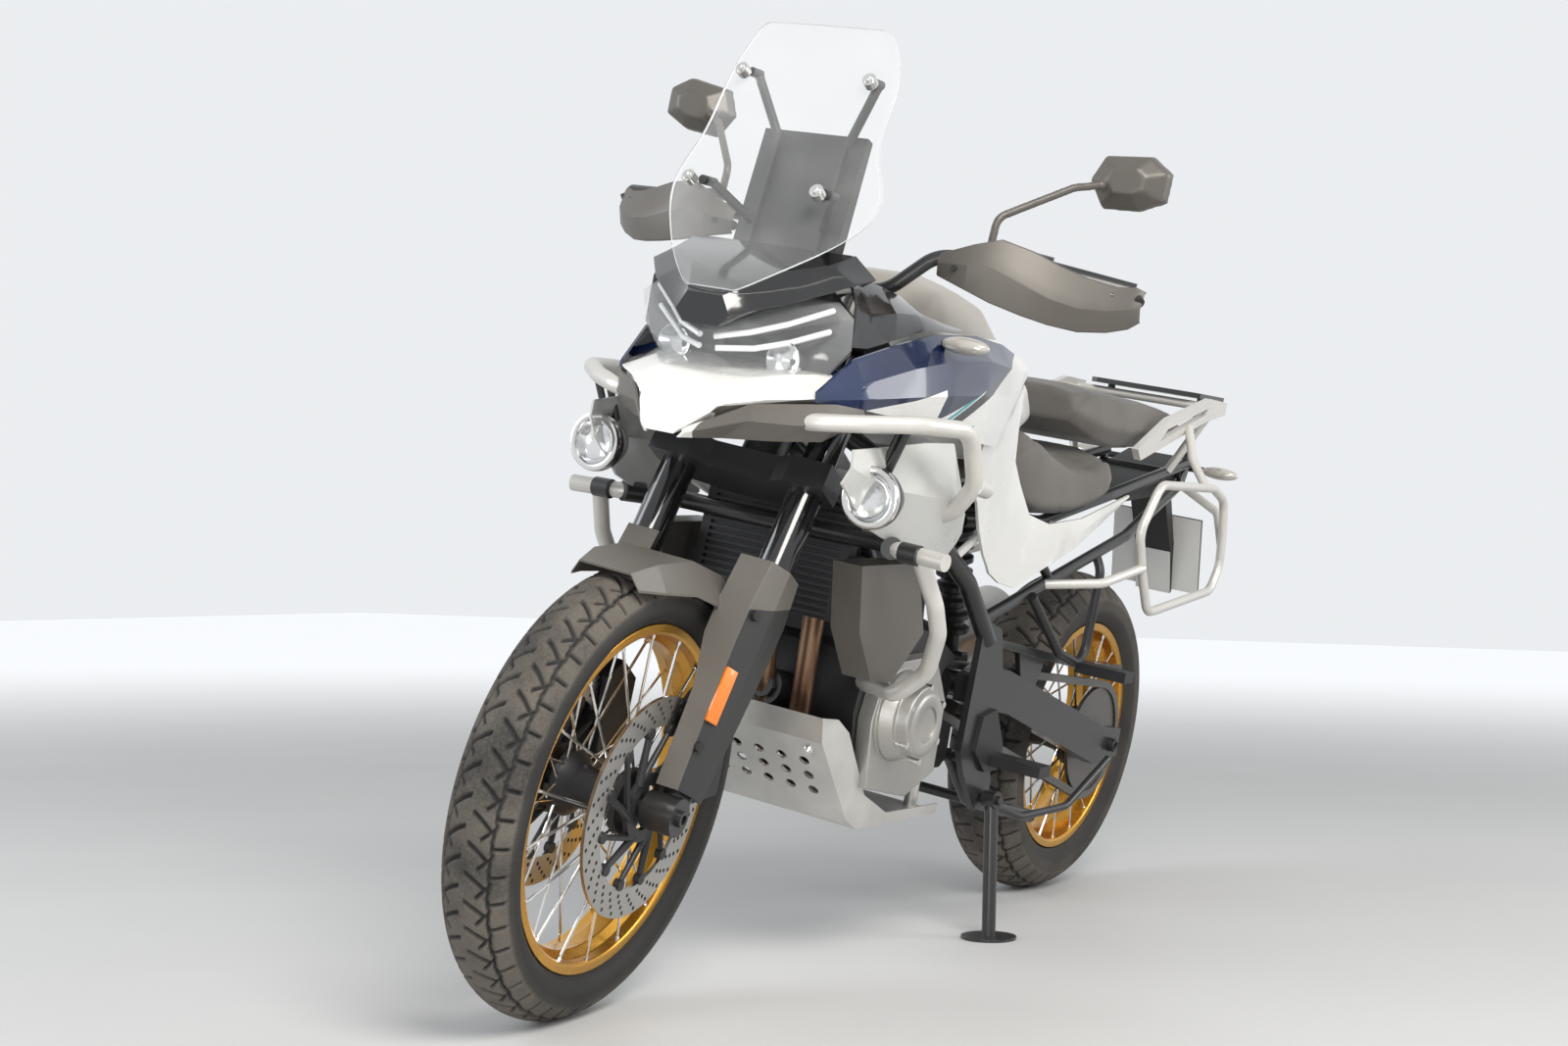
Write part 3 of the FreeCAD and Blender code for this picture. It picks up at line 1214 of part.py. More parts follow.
def nose_side(name):
    rows = [
        (15.1, [(0.3, 8.38), (0.37, 8.46), (0.38, 8.52)]),
        (14.5, [(0.62, 8.45), (0.98, 8.75), (1.05, 9.0)]),
        (14.1, [(1.2, 8.52), (1.58, 8.8), (1.55, 9.1)]),
        (13.7, [(1.75, 8.62), (2.02, 8.92), (1.92, 9.18)]),
        (13.25, [(2.04, 8.95), (2.14, 9.08), (2.08, 9.16)]),
    ]
    return faceted_panel(name, rows)


# Headlamp: dark housing with a clear lens in front
housing_table = [
    (13.05, [(1.3, 9.65), (1.6, 9.95), (1.6, 10.4), (1.2, 10.7)]),
    (13.38, [(1.5, 9.56), (1.8, 9.9), (1.8, 10.4), (1.3, 10.8)]),
]
housing = symmetric_loft("headlamp_housing", housing_table)
lens_table = [
    (13.41, [(1.5, 9.56), (1.82, 9.95), (1.78, 10.4), (1.5, 10.6)]),
    (13.66, [(1.2, 9.48), (1.6, 9.95), (1.72, 10.35), (1.45, 10.55)]),
    (13.97, [(0.95, 9.4), (1.25, 9.75), (1.42, 10.2), (1.1, 10.42)]),
    (14.25, [(0.7, 9.36), (0.85, 9.65), (0.95, 10.0), (0.6, 10.15)]),
    (14.55, [(0.3, 9.6), (0.42, 9.72), (0.44, 9.85), (0.25, 9.92)]),
]
lens = symmetric_loft("headlamp_cover", lens_table)
lamp_housing = cut("headlamp_body", housing, [frame_solid])
node("headlamp", [lamp_housing], "chassis")
side_fairings = seated("side_fairing", both_sides("side_fairing", side_fairing), fairing_stays,
                       [tank_shell, housing, lens] + side_covers)
node("side_fairings", side_fairings, "chassis")
lens_clear = cut("headlamp_lens_body", lens, [nose_solid])
node("headlamp_lens", [lens_clear], "chassis")

# Black cowl under the screen
cowl_table = [
    (14.6, [(0.3, 9.98), (0.46, 10.15), (0.3, 10.42)]),
    (14.0, [(0.7, 10.3), (1.3, 10.55), (0.7, 10.85)]),
    (13.5, [(1.1, 10.6), (1.75, 10.85), (1.3, 11.1)]),
    (13.0, [(1.3, 10.7), (1.8, 11.0), (1.4, 11.3)]),
]
cowl_solid = symmetric_loft("cowl_solid", cowl_table)


def cowl_side(name):
    rows = [
        (13.38, [(1.8, 10.0), (1.78, 10.6), (1.6, 10.95)]),
        (13.0, [(1.84, 10.02), (1.8, 10.5), (1.5, 11.0)]),
        (12.3, [(1.9, 10.22), (1.82, 10.6), (1.5, 10.95)]),
        (11.5, [(1.93, 10.42), (1.76, 10.65), (1.4, 10.88)]),
        (10.7, [(1.93, 10.5), (1.7, 10.62), (1.35, 10.72)]),
        (10.3, [(1.9, 10.54), (1.7, 10.6), (1.5, 10.66)]),
    ]
    return faceted_panel(name, rows)


cowl_sides = both_sides("cowl_side", cowl_side)
cowl_posts = [cylinder(f"cowl_post_{side + 1}", size("stay_radius"), at(13.2, side * 0.95, 10.1),
                       at(13.2, side * 0.95, 10.95)) for side in (-1, 1)]
cowl = cut("cowl_body", fuse("cowl_whole", [cowl_solid] + cowl_posts + cowl_sides),
           [housing, lens, tank_shell] + side_fairings)
node("cowl", [cowl], "chassis")

# Windscreen, a tall clear sheet; rows run up it from the bottom edge
screen_rows = [
    (14.57, 10.51, 0.45, 0.05), (14.3, 10.9, 0.95, 0.12), (13.96, 11.3, 1.4, 0.25),
    (13.75, 11.72, 1.75, 0.4), (13.6, 12.2, 1.85, 0.45), (13.4, 12.8, 1.44, 0.3),
    (13.0, 13.6, 1.5, 0.25), (12.7, 14.2, 1.35, 0.15), (12.58, 14.6, 1.1, 0.05),
]
screen_wires = []
screen_wall = Vector(-float(size("screen_thickness")), 0, 0)
for x, z, half, sweep in screen_rows:
    ring = [at(x, -half, z) - at(sweep, 0, 0), at(x, -half * 0.6, z), at(x, half * 0.6, z),
            at(x, half, z) - at(sweep, 0, 0)]
    ring += [point + screen_wall for point in reversed(ring)]
    screen_wires.append(Part.makePolygon(ring + ring[:1]))
screen_shell = doc.addObject("Part::Feature", "screen_shell")
screen_shell.Shape = Part.makeLoft(screen_wires, True, True)
screen = cut("screen_body", screen_shell, [cowl_solid])
node("windscreen", [screen], "chassis")

# Stay behind the lamp and the screen, and the instrument panel on it
stay_shares = [(13.4, 9.32), (13.2, 9.32), (13.12, 9.7), (12.95, 10.2), (12.62, 11.4),
               (12.3, 13.0), (12.45, 13.0), (12.8, 11.5)]
stay_post = side_plate("stay_post", [on_grid(stay_shares)], grid * 0.55, grid * 0.08)
stay_twin = mirror("stay_twin", stay_post)
panel_shares = [(12.75, 11.3), (12.35, 13.05), (12.2, 13.0), (12.55, 11.25)]
panel = make_body("instrument_block")
add_pad(panel, make_sketch(panel, "XZ_Plane", [on_grid(panel_shares)]), grid * 1.8, True)
stay_foot = cylinder("stay_foot", size("frame_tube_radius") * 0.6, at(13.3, -0.6, 9.42),
                     at(13.3, 0.6, 9.42))
screen_stays = []
for side in (-1, 1):
    for level, (root, bend_point, pad_end) in enumerate((
            ((12.7, 0.6, 11.6), (13.3, 1.05, 12.07), (13.58, 1.05, 12.07)),
            ((12.4, 0.6, 12.9), (12.55, 1.05, 13.81), (12.78, 1.05, 13.81)))):
        points = [at(x, y * side, z) for x, y, z in (root, bend_point, pad_end)]
        screen_stays.append(cylinder(f"screen_arm_{level}_{side + 1}", size("stay_radius"),
                                     points[0], points[1]))
        screen_stays.append(cylinder(f"screen_pad_{level}_{side + 1}", size("stay_radius"),
                                     points[1] - at(0.05, 0, 0), points[2]))
stay_solid = fuse("stay_solid", [stay_post, stay_twin, stay_foot, panel] + screen_stays)
stay = cut("stay_body", stay_solid, [frame_solid, housing, cowl_solid, nose_solid,
                                     screen_shell])
node("instrument_panel", [stay], "chassis")


# Crash bars
bar_turn = float(grid) * 0.55


def crash_bar_side(name):
    upper = tube(f"{name}_upper", [at(13.95, -0.1, 8.85), at(13.95, 1.2, 8.85), at(13.91, 1.76, 8.89),
                                   at(13.55, 2.36, 8.98), at(13.01, 2.94, 9.09),
                                   at(11.9, 3.14, 9.1), at(11.35, 3.08, 8.3),
                                   at(11.15, 2.7, 7.85), at(10.98, 1.12, 7.27)],
                 size("crash_bar_radius"), bar_turn)
    lower = tube(f"{name}_lower", [at(10.85, 1.13, 7.14), at(11.3, 1.85, 7.22),
                                   at(12.3, 2.4, 7.23), at(12.42, 3.36, 7.2)],
                 size("crash_bar_radius"), bar_turn)
    drop = tube(f"{name}_drop", [at(12.3, 2.9, 7.15), at(11.88, 3.04, 6.5), at(11.57, 3.01, 6.07),
                                 at(11.1, 2.7, 5.4), at(11.0, 2.2, 4.95), at(10.0, 1.0, 4.85)],
                size("crash_bar_radius"), bar_turn)
    stub = cylinder(f"{name}_stub", size("crash_bar_radius"), at(11.35, 3.08, 8.3),
                    at(10.9, 3.05, 8.25))
    return fuse(name, [upper, lower, drop, stub])


crash_sides = both_sides("crash_bar_side", crash_bar_side)
crash_solid = fuse("crash_solid", crash_sides)
crash_bars = cut("crash_bars_body", crash_solid, [engine_solid, frame_solid, left_covers,
                                                 right_covers])
node("crash_bars", [crash_bars], "chassis")
nose = cut("nose_body", nose_solid, [crash_solid, frame_solid, housing] + side_fairings)
nose_sides = [cut(f"nose_side_{i}", side, [crash_solid, nose_solid] + side_fairings)
              for i, side in enumerate(both_sides("nose_flank", nose_side))]
node("nose_fairing", [nose] + nose_sides, "chassis")


# Fog lamps on brackets from the upper crash bar
def fog_lamp(name):
    body = make_body(f"{name}_can")
    radius = size("fog_lamp_radius")
    depth = size("fog_lamp_depth")
    profile = [(radius * 0, -depth), (radius * 0.55, -depth), (radius * 0.95, -depth * 0.45),
               (radius, -depth * 0.3), (radius, radius * 0), (radius * 0.7, radius * 0),
               (radius * 0.62, -depth * 0.18), (radius * 0, -depth * 0.12)]
    outline = [(x, r) for r, x in profile]
    add_revolution(body, make_sketch(body, "XZ_Plane", [outline]))
    body.Placement = Placement(at(13.31, 2.44, 7.96), Rotation())
    bracket = cylinder(f"{name}_bracket", size("crash_bar_radius") * 0.7, at(12.95, 2.5, 8.3),
                       at(13.1, 2.84, 9.05))
    return cut(name, fuse(f"{name}_whole", [body, bracket]), [crash_solid])


fog_lamps = both_sides("fog_lamp", fog_lamp)
node("fog_lamps", fog_lamps, "chassis")
deflectors = [cut(f"deflector_{i}", side, [crash_solid, fog_lamps[i]])
              for i, side in enumerate(both_sides("deflector_sheet", deflector))]
node("radiator_shrouds", shrouds + deflectors, "chassis")


# Grab rails, rack and pannier racks
def grab_rail(name):
    outline_shares = [(1.9, 9.05), (1.7, 8.85), (-1.3, 9.75), (-2.3, 9.95), (-2.3, 10.2),
                      (-1.4, 10.22), (0.6, 9.7)]
    hole_shares = [(0.9, 9.25), (-1.25, 9.9), (-1.3, 10.02), (0.6, 9.5)]
    body = make_body(name)
    sketch = make_sketch(body, "XZ_Plane", [on_grid(outline_shares), on_grid(hole_shares)],
                         offset=-grid * 1.5)
    add_pad(body, sketch, grid * 0.14, backwards=True)
    return body


grab_sides = both_sides("grab_rail", grab_rail)
grab_cross = cylinder("grab_cross", size("subframe_tube_radius") * 0.8, at(-1.95, -1.52, 10.05),
                      at(-1.95, 1.52, 10.05))
grab_post_left = cylinder("grab_post_left", size("subframe_tube_radius") * 0.8,
                          at(-1.65, 1.57, 9.97), at(-1.3, 1.02, 8.66))
grab_post_right = mirror("grab_post_right", grab_post_left)
grab_solid = fuse("grab_solid", grab_sides + [grab_cross, grab_post_left, grab_post_right])
grab_rails = cut("grab_rails_body", grab_solid, [subframe_solid, passenger_seat])
node("grab_rails", [grab_rails], "chassis")

rack = make_body("rack_plate")
rack_shares = [(-1.7, -1.0), (-1.9, -1.2), (-3.4, -1.15), (-3.7, -0.9)]
rack_outline = on_grid(rack_shares) + [(x, -y) for x, y in reversed(on_grid(rack_shares))]
rack_top = grid * 10.3
rack_middle = -grid * 2.75
rack_thickness = grid * 0.1
slots = []
for side in (-1, 1):
    for x_share in (-3.0, -2.7):
        slots.append([(grid * x_share, grid * side * 0.3), (grid * (x_share + 0.2), grid * side * 0.3),
                      (grid * (x_share + 0.2), grid * side * 0.8),
                      (grid * x_share, grid * side * 0.8)])
add_pad(rack, make_sketch(rack, "XY_Plane", [rack_outline] + slots, offset=rack_top),
        rack_thickness, backwards=True)
holes = []
for number in range(4):
    turn = math.radians(45 + 90 * number)
    ring = size("rack_hole_circle") / 2
    holes.append((rack_middle + ring * math.cos(turn), ring * math.sin(turn),
                  size("rack_hole_radius")))
doc.recompute()
add_pocket(rack, make_sketch(rack, "XY_Plane", [], circles=holes))
rack_posts = [cylinder(f"rack_post_{i}", size("subframe_tube_radius") * 0.7,
                       at(x, side * 1.0, 10.25), at(x, side * 0.9, 8.84))
              for i, (x, side) in enumerate([(-2.5, 1), (-2.5, -1)])]
rack_body = cut("rack_body", fuse("rack_solid", [rack] + rack_posts), [subframe_solid, grab_solid])
node("rear_rack", [rack_body], "chassis")


def pannier_side(name):
    radius = size("pannier_tube_radius")
    bend = float(grid) * 0.4
    upper_shares = [(2.55, 2.4, 6.86), (3.0, 2.4, 7.6), (2.5, 2.45, 8.5), (-0.2, 2.45, 8.52),
                    (-0.9, 2.45, 8.3), (-1.15, 2.45, 7.65)]
    lower_shares = [(2.55, 2.4, 6.86), (2.09, 2.45, 6.12), (1.7, 2.45, 6.15), (-1.0, 2.45, 6.5),
                    (-1.3, 2.45, 7.0), (-1.15, 2.45, 7.65)]
    loop_top = tube(f"{name}_loop_top", [at(*share) for share in upper_shares], radius, bend)
    loop_low = tube(f"{name}_loop_low", [at(*share) for share in lower_shares], radius, bend)
    lug = tube(f"{name}_lug", [at(2.6, 2.42, 6.95), at(3.6, 2.1, 6.6), at(4.3, 1.3, 6.43)],
               radius, bend)
    top_arm = tube(f"{name}_top_arm", [at(0.2, 2.45, 8.52), at(0.0, 2.0, 9.0),
                                       at(-0.4, 1.66, 9.6)], radius, bend)
    rear_arm = tube(f"{name}_rear_arm", [at(-1.2, 2.45, 7.4), at(-1.9, 2.0, 8.0),
                                         at(-2.38, 0.9, 8.42)], radius, bend)
    return fuse(name, [loop_top, loop_low, lug, top_arm, rear_arm])


pannier_sides = both_sides("pannier_side", pannier_side)
pannier_clear = [cut(f"pannier_rack_{i}", side, [grab_solid, subframe_solid])
                 for i, side in enumerate(pannier_sides)]
node("pannier_racks", pannier_clear, "chassis")


# Tail: rear fender with a blank plate, tail lamp and indicators
fender = loft_body("fender_solid", [
    (-grid * 0.2, mirrored_outline(on_grid([(0.7, 7.95), (0.8, 8.1)]))),
    (-grid * 2.4, mirrored_outline(on_grid([(0.75, 8.2), (0.8, 8.6)]))),
    (-grid * 3.3, mirrored_outline(on_grid([(0.6, 8.55), (0.7, 8.95)]))),
])
plate_arm = make_body("plate_arm")
arm_shares = [(-3.0, 8.7), (-2.7, 8.5), (-3.9, 6.9), (-4.3, 6.0), (-4.36, 6.05), (-4.0, 7.1)]
add_pad(plate_arm, make_sketch(plate_arm, "XZ_Plane", [on_grid(arm_shares)]), grid * 0.8, True)
plate = make_body("blank_plate")
plate_shares = [(-3.8, 7.68), (-4.32, 6.1), (-4.38, 6.1), (-3.86, 7.7)]
add_pad(plate, make_sketch(plate, "XZ_Plane", [on_grid(plate_shares)]), grid * 2.0, True)
tail_solid = fuse("tail_solid", [fender, plate_arm, plate])
tail = cut("tail_body", tail_solid, [subframe_solid, rack_body])
node("tail_unit", [tail], "chassis")


def indicator(name, x_share, y_share, z_share, inner_y, nose):
    """A small lamp on a short stalk; the nose points forward or back."""
    lamp = doc.addObject("Part::Ellipsoid", f"{name}_lamp")
    bind(lamp, "Radius1", grid * 0.13)
    bind(lamp, "Radius2", grid * 0.17)
    bind(lamp, "Radius3", grid * 0.4)
    lamp.Placement = Placement(at(x_share, y_share, z_share), Rotation())
    stalk = cylinder(f"{name}_stalk", grid * 0.07, at(x_share + nose * 0.1, inner_y, z_share),
                     at(x_share, y_share, z_share))
    return fuse(name, [lamp, stalk])


def front_indicator(name):
    return cut(name, indicator(f"{name}_solid", 11.39, 2.55, 10.3, 2.14, -1), [side_fairings[0]])


def rear_indicator(name):
    return cut(name, indicator(f"{name}_solid", -3.0, 1.5, 8.75, 0.6, -1), [tail_solid])


indicators = both_sides("front_indicator", front_indicator)
indicators += both_sides("rear_indicator", rear_indicator)
node("indicators", indicators, "chassis")

# Swingarm on the pivot shaft, with the rear axle between its ends
arm_shares = [(6.75, 4.85), (6.35, 5.0), (5.2, 4.9), (1.0, 3.75), (0.2, 3.55), (-0.45, 3.5),
              (-0.45, 2.95), (0.6, 2.85), (5.0, 4.1), (6.4, 4.3), (6.75, 4.4)]


def swing_side(name):
    return side_plate(name, [on_grid(arm_shares)], size("chain_offset") + size("chain_width"),
                      grid * 0.28)


swing_sides = both_sides("swing_side", swing_side)
swing_inner = size("chain_offset") + size("chain_width") + size("overrun")
swing_sleeve = cylinder("swing_sleeve", size("rear_axle_radius") * 1.6,
                        pivot - Vector(0, float(swing_inner), 0),
                        pivot + Vector(0, float(swing_inner), 0))
bridge = make_body("swing_bridge")
bridge_shares = [(5.6, 4.62), (4.3, 4.45), (4.2, 4.0), (4.9, 4.1), (5.7, 4.3)]
add_pad(bridge, make_sketch(bridge, "XZ_Plane", [on_grid(bridge_shares)]), swing_inner * 2, True)
pivot_bore = cylinder("pivot_bore", size("rear_axle_radius") + size("bearing_gap"),
                      pivot - at(0, 2, 0), pivot + at(0, 2, 0))
axle_bore = cylinder("axle_bore", size("rear_axle_radius") + size("bearing_gap"),
                     rear_axle - at(0, 2, 0), rear_axle + at(0, 2, 0))
swing_solid = fuse("swing_solid", swing_sides + [swing_sleeve, bridge])
swingarm = cut("swingarm_body", swing_solid, [pivot_bore, axle_bore])
rear_reach = float(size("chain_offset") + size("chain_width")) + float(grid) * 0.42
rear_axle_rod = cylinder("rear_axle_rod", size("rear_axle_radius"),
                         rear_axle - Vector(0, rear_reach, 0),
                         rear_axle + Vector(0, rear_reach, 0))
rear_axle_hole = cylinder("rear_axle_hole", size("axle_bore_radius"),
                          rear_axle - Vector(0, rear_reach * 1.1, 0),
                          rear_axle + Vector(0, rear_reach * 1.1, 0))
rear_axle_tube = cut("rear_axle_tube", rear_axle_rod, [rear_axle_hole])

# Rear caliper on its bracket, ahead of the axle on the right
caliper_body = make_body("rear_caliper_block")
caliper_shares = [(1.75, 3.75), (1.05, 4.3), (0.75, 4.1), (0.35, 3.7), (0.9, 3.65), (1.2, 3.55)]
add_pad(caliper_body, make_sketch(caliper_body, "XZ_Plane", [on_grid(caliper_shares)],
                                  offset=size("rear_disc_offset") - grid * 0.12),
        grid * 0.34)
caliper_slot = cylinder("rear_caliper_slot", size("rear_disc_radius") + size("overrun") * 4,
                        rear_axle - Vector(0, float(size("rear_disc_offset"))
                                           - float(size("disc_thickness")), 0),
                        rear_axle - Vector(0, float(size("rear_disc_offset"))
                                           + float(size("disc_thickness")), 0))
rear_caliper = cut("rear_caliper_body", caliper_body, [caliper_slot, swing_solid])
node("rear_caliper", [rear_caliper, rear_axle_tube], "chassis")

# Chain guard over the upper run
guard = side_plate("chain_guard_plate", [on_grid([(5.6, 5.45), (1.2, 4.85), (-0.3, 4.75),
                                                  (-0.3, 4.62), (1.3, 4.7), (5.6, 5.3)])],
                   size("chain_offset") - size("chain_width") / 2, size("chain_width") * 2.4)
guard_leg = side_plate("chain_guard_leg", [on_grid([(4.6, 5.2), (3.4, 5.05), (3.8, 4.2),
                                                    (4.2, 4.3)])],
                       size("chain_offset") + size("chain_width") * 1.1, grid * 0.1)
chain_guard = cut("chain_guard_body", fuse("chain_guard_solid", [guard, guard_leg]),
                  [swing_solid])
node("swingarm", [swingarm, chain_guard], "chassis")

# Rear shock with its spring, from the swingarm to the frame
shock_low = at(4.95, 0, 4.85)
shock_high = at(5.6, 0, 7.6)
shock_line = shock_high - shock_low
shock_core = cylinder("shock_core", grid * 0.16, shock_low, shock_high)
coil_count = 7
coil_radius = float(grid) * 0.33
coil_root = float(grid) * 0.24
coil_start = shock_line.Length * 0.18
coil_pitch = shock_line.Length * 0.65 / coil_count
profile = [Vector(0, 0, coil_start), Vector(coil_radius, 0, coil_start)]
for number in range(coil_count):
    base = coil_start + coil_pitch * number
    profile += [Vector(coil_radius, 0, base + coil_pitch * 0.35),
                Vector(coil_root, 0, base + coil_pitch * 0.55),
                Vector(coil_root, 0, base + coil_pitch * 0.8),
                Vector(coil_radius, 0, base + coil_pitch)]
profile += [Vector(coil_radius, 0, coil_start + coil_pitch * (coil_count + 0.3)),
            Vector(0, 0, coil_start + coil_pitch * (coil_count + 0.3))]
spring = doc.addObject("Part::Feature", "shock_spring")
spring.Shape = Part.Face(Part.makePolygon(profile + profile[:1])).revolve(
    Vector(), Vector(0, 0, 1), 360)
spring.Placement = Placement(shock_low, Rotation(Vector(0, 0, 1), shock_line))
shock_eye = cylinder("shock_eye", grid * 0.16, shock_low - at(0, 0.3, 0),
                     shock_low + at(0, 0.3, 0))
shock_cross = cylinder("shock_cross", grid * 0.12, shock_high - at(0, 1.15, 0),
                       shock_high + at(0, 1.15, 0))
shock_solid = fuse("shock_solid", [shock_core, spring, shock_eye, shock_cross])
shock = cut("shock_body", shock_solid, [swing_solid, subframe_solid, engine_solid, chain_loop])
node("shock_absorber", [shock], "chassis")


# Foot pegs on their hangers
def rider_peg(name):
    hanger = side_plate(f"{name}_hanger", [on_grid([(6.5, 4.2), (6.0, 4.3), (5.5, 3.6),
                                                    (5.6, 3.2), (6.1, 3.2), (6.6, 3.6)])],
                        grid * 1.53, grid * 0.08)
    tread = side_plate(f"{name}_tread", [on_grid([(5.95, 3.3), (5.95, 3.5), (5.5, 3.5),
                                                  (5.5, 3.3)])], grid * 1.61, grid * 0.95)
    return fuse(name, [hanger, tread])


def passenger_peg(name):
    hanger = tube(f"{name}_hanger", [at(5.0, 1.42, 6.25), at(3.6, 1.5, 5.2), at(2.4, 1.5, 4.9),
                                     at(2.2, 1.45, 6.7), at(2.1, 1.25, 7.0)],
                  size("subframe_tube_radius") * 0.8, float(grid) * 0.4)
    tread = side_plate(f"{name}_tread", [on_grid([(2.7, 4.8), (2.7, 5.0), (2.3, 5.0),
                                                  (2.3, 4.8)])], grid * 1.5, grid * 1.0)
    return fuse(name, [hanger, tread])


pegs = []
for peg_name, peg_maker in (("rider_peg", rider_peg), ("passenger_peg", passenger_peg)):
    for peg_number, peg_side in enumerate(both_sides(peg_name, peg_maker)):
        pegs.append(cut(f"{peg_name}_clear_{peg_number}", peg_side,
                        [subframe_solid, frame_solid, silencer_body, collector]
                        + pannier_clear))
node("footpegs", pegs, "chassis")



# Parked pose: lean, then the pitch at which both tyres touch the ground
def tyre_low(turn, axle, axle_direction, radius, width):
    centre = turn.multVec(axle)
    direction = turn.multVec(axle_direction)
    tube_radius = float(width) / 2
    ring = (float(radius) - tube_radius) * math.sqrt(1 - direction.z ** 2)
    return centre.z - ring - tube_radius


steer_turn = Rotation(axis_up, float(size("parked_steer_angle")))
steered_axle = axis_foot + steer_turn.multVec(front_axle - axis_foot)
steered_direction = steer_turn.multVec(Vector(0, 1, 0))
lean_turn = Rotation(Vector(1, 0, 0), -float(size("lean_angle")))


def ground_gap(pitch):
    turn = Rotation(Vector(0, 1, 0), pitch).multiply(lean_turn)
    front = tyre_low(turn, steered_axle, steered_direction, size("front_tyre_radius"),
                     size("front_tyre_width"))
    rear = tyre_low(turn, rear_axle, Vector(0, 1, 0), size("rear_tyre_radius"),
                    size("rear_tyre_width"))
    return front - rear, rear


low_pitch, high_pitch = 0.0, 1.0
for _ in range(12):
    low_gap = ground_gap(low_pitch)[0]
    high_gap = ground_gap(high_pitch)[0]
    if high_gap == low_gap:
        break
    step = high_gap * (high_pitch - low_pitch) / (high_gap - low_gap)
    low_pitch, high_pitch = high_pitch, high_pitch - step
parked_turn = Rotation(Vector(0, 1, 0), high_pitch).multiply(lean_turn)
parked = Placement(Vector(0, 0, -ground_gap(high_pitch)[1]), parked_turn)
steering_pose = Placement(axis_foot - steer_turn.multVec(axis_foot), steer_turn)
# Side stand: a leg from its pivot on the left pivot plate to a flat foot on the ground
to_bike = parked.inverse()
foot_centre = to_bike.multVec(at(5.98, 2.21, 0))
foot_up = to_bike.Rotation.multVec(Vector(0, 0, 1))
foot_top = foot_centre + foot_up * float(size("stand_foot_thickness"))
foot = cylinder("stand_foot", size("stand_foot_radius"), foot_centre, foot_top)
leg = cylinder("stand_leg", size("stand_leg_radius"), stand_pivot,
               foot_centre + foot_up * (float(size("stand_foot_thickness")) * 0.6))
eye_half = stand_axis * (float(grid) * 0.13)
stand_eye = cylinder("stand_eye", size("stand_leg_radius") * 1.3, stand_pivot - eye_half,
                     stand_pivot + eye_half)
stand_bore = cylinder("stand_bore", stand_pin_radius + size("bearing_gap"),
                      stand_pivot - eye_half * 3, stand_pivot + eye_half * 3)
side_stand = cut("side_stand_body", fuse("side_stand_solid", [foot, leg, stand_eye]),
                 [stand_bore])
node("side_stand", [side_stand], "side_stand")

# Centre stand, folded up under the engine, with its tang on the left


def centre_leg(name):
    return tube(name, [at(6.2, 0.95, 3.35), at(5.4, 1.05, 2.5), at(3.35, 1.4, 2.1)],
                size("stand_leg_radius"), float(grid) * 0.5)


centre_legs = both_sides("centre_leg", centre_leg)
centre_cross = cylinder("centre_cross", size("stand_leg_radius"), at(6.2, -1.0, 3.35),
                        at(6.2, 1.0, 3.35))
centre_bar = cylinder("centre_bar", size("stand_leg_radius") * 0.8, at(4.6, -1.17, 2.35),
                      at(4.6, 1.17, 2.35))
tang = tube("stand_tang", [at(4.6, 1.17, 2.35), at(3.9, 1.45, 2.15), at(2.6, 1.75, 2.3),
                          at(1.3, 1.9, 3.15)],
            size("stand_leg_radius") * 0.6, float(grid) * 0.5)
centre_bore = cylinder("centre_bore", stand_pin_radius + size("bearing_gap"),
                       centre_pivot - at(0, 2, 0), centre_pivot + at(0, 2, 0))
centre_stand = cut("centre_stand_body", fuse("centre_stand_solid", centre_legs
                                             + [centre_cross, centre_bar, tang]),
                   [centre_bore])
node("centre_stand", [centre_stand], "centre_stand")
poses = {
    "chassis": parked,
    "steering": parked.multiply(steering_pose),
    "front_wheel": parked.multiply(steering_pose).multiply(Placement(front_axle, Rotation())),
    "rear_wheel": parked.multiply(Placement(rear_axle, Rotation())),
    "side_stand": parked,
    "centre_stand": parked,
}
doc.recompute()

# Every object has to be sound before anything is written
for item in doc.Objects:
    if any(word in item.State for word in ("Invalid", "Error")):
        raise RuntimeError(f"{item.Label} failed: {item.State}")
box = FreeCAD.BoundBox()
for group, body in nodes:
    group.Placement = poses[body]
    shape = group.Shape
    if shape.isNull() or not shape.isValid():
        raise RuntimeError(f"{group.Label} has no sound shape")
    for corner in shape.tessellate(float(size("sheet_thickness")) / 2)[0]:
        box.add(corner)
to_origin = Placement(Vector(-box.Center.x, -box.Center.y, -box.ZMin), Rotation())
for group, body in nodes:
    group.Placement = to_origin.multiply(poses[body])
doc.recompute()

os.makedirs("parts", exist_ok=True)
for group, body in nodes:
    group.Shape.exportStep(f"parts/{group.Label}.step")
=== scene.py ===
import json
import math
import bmesh
import bpy
from mathutils import Matrix, Vector

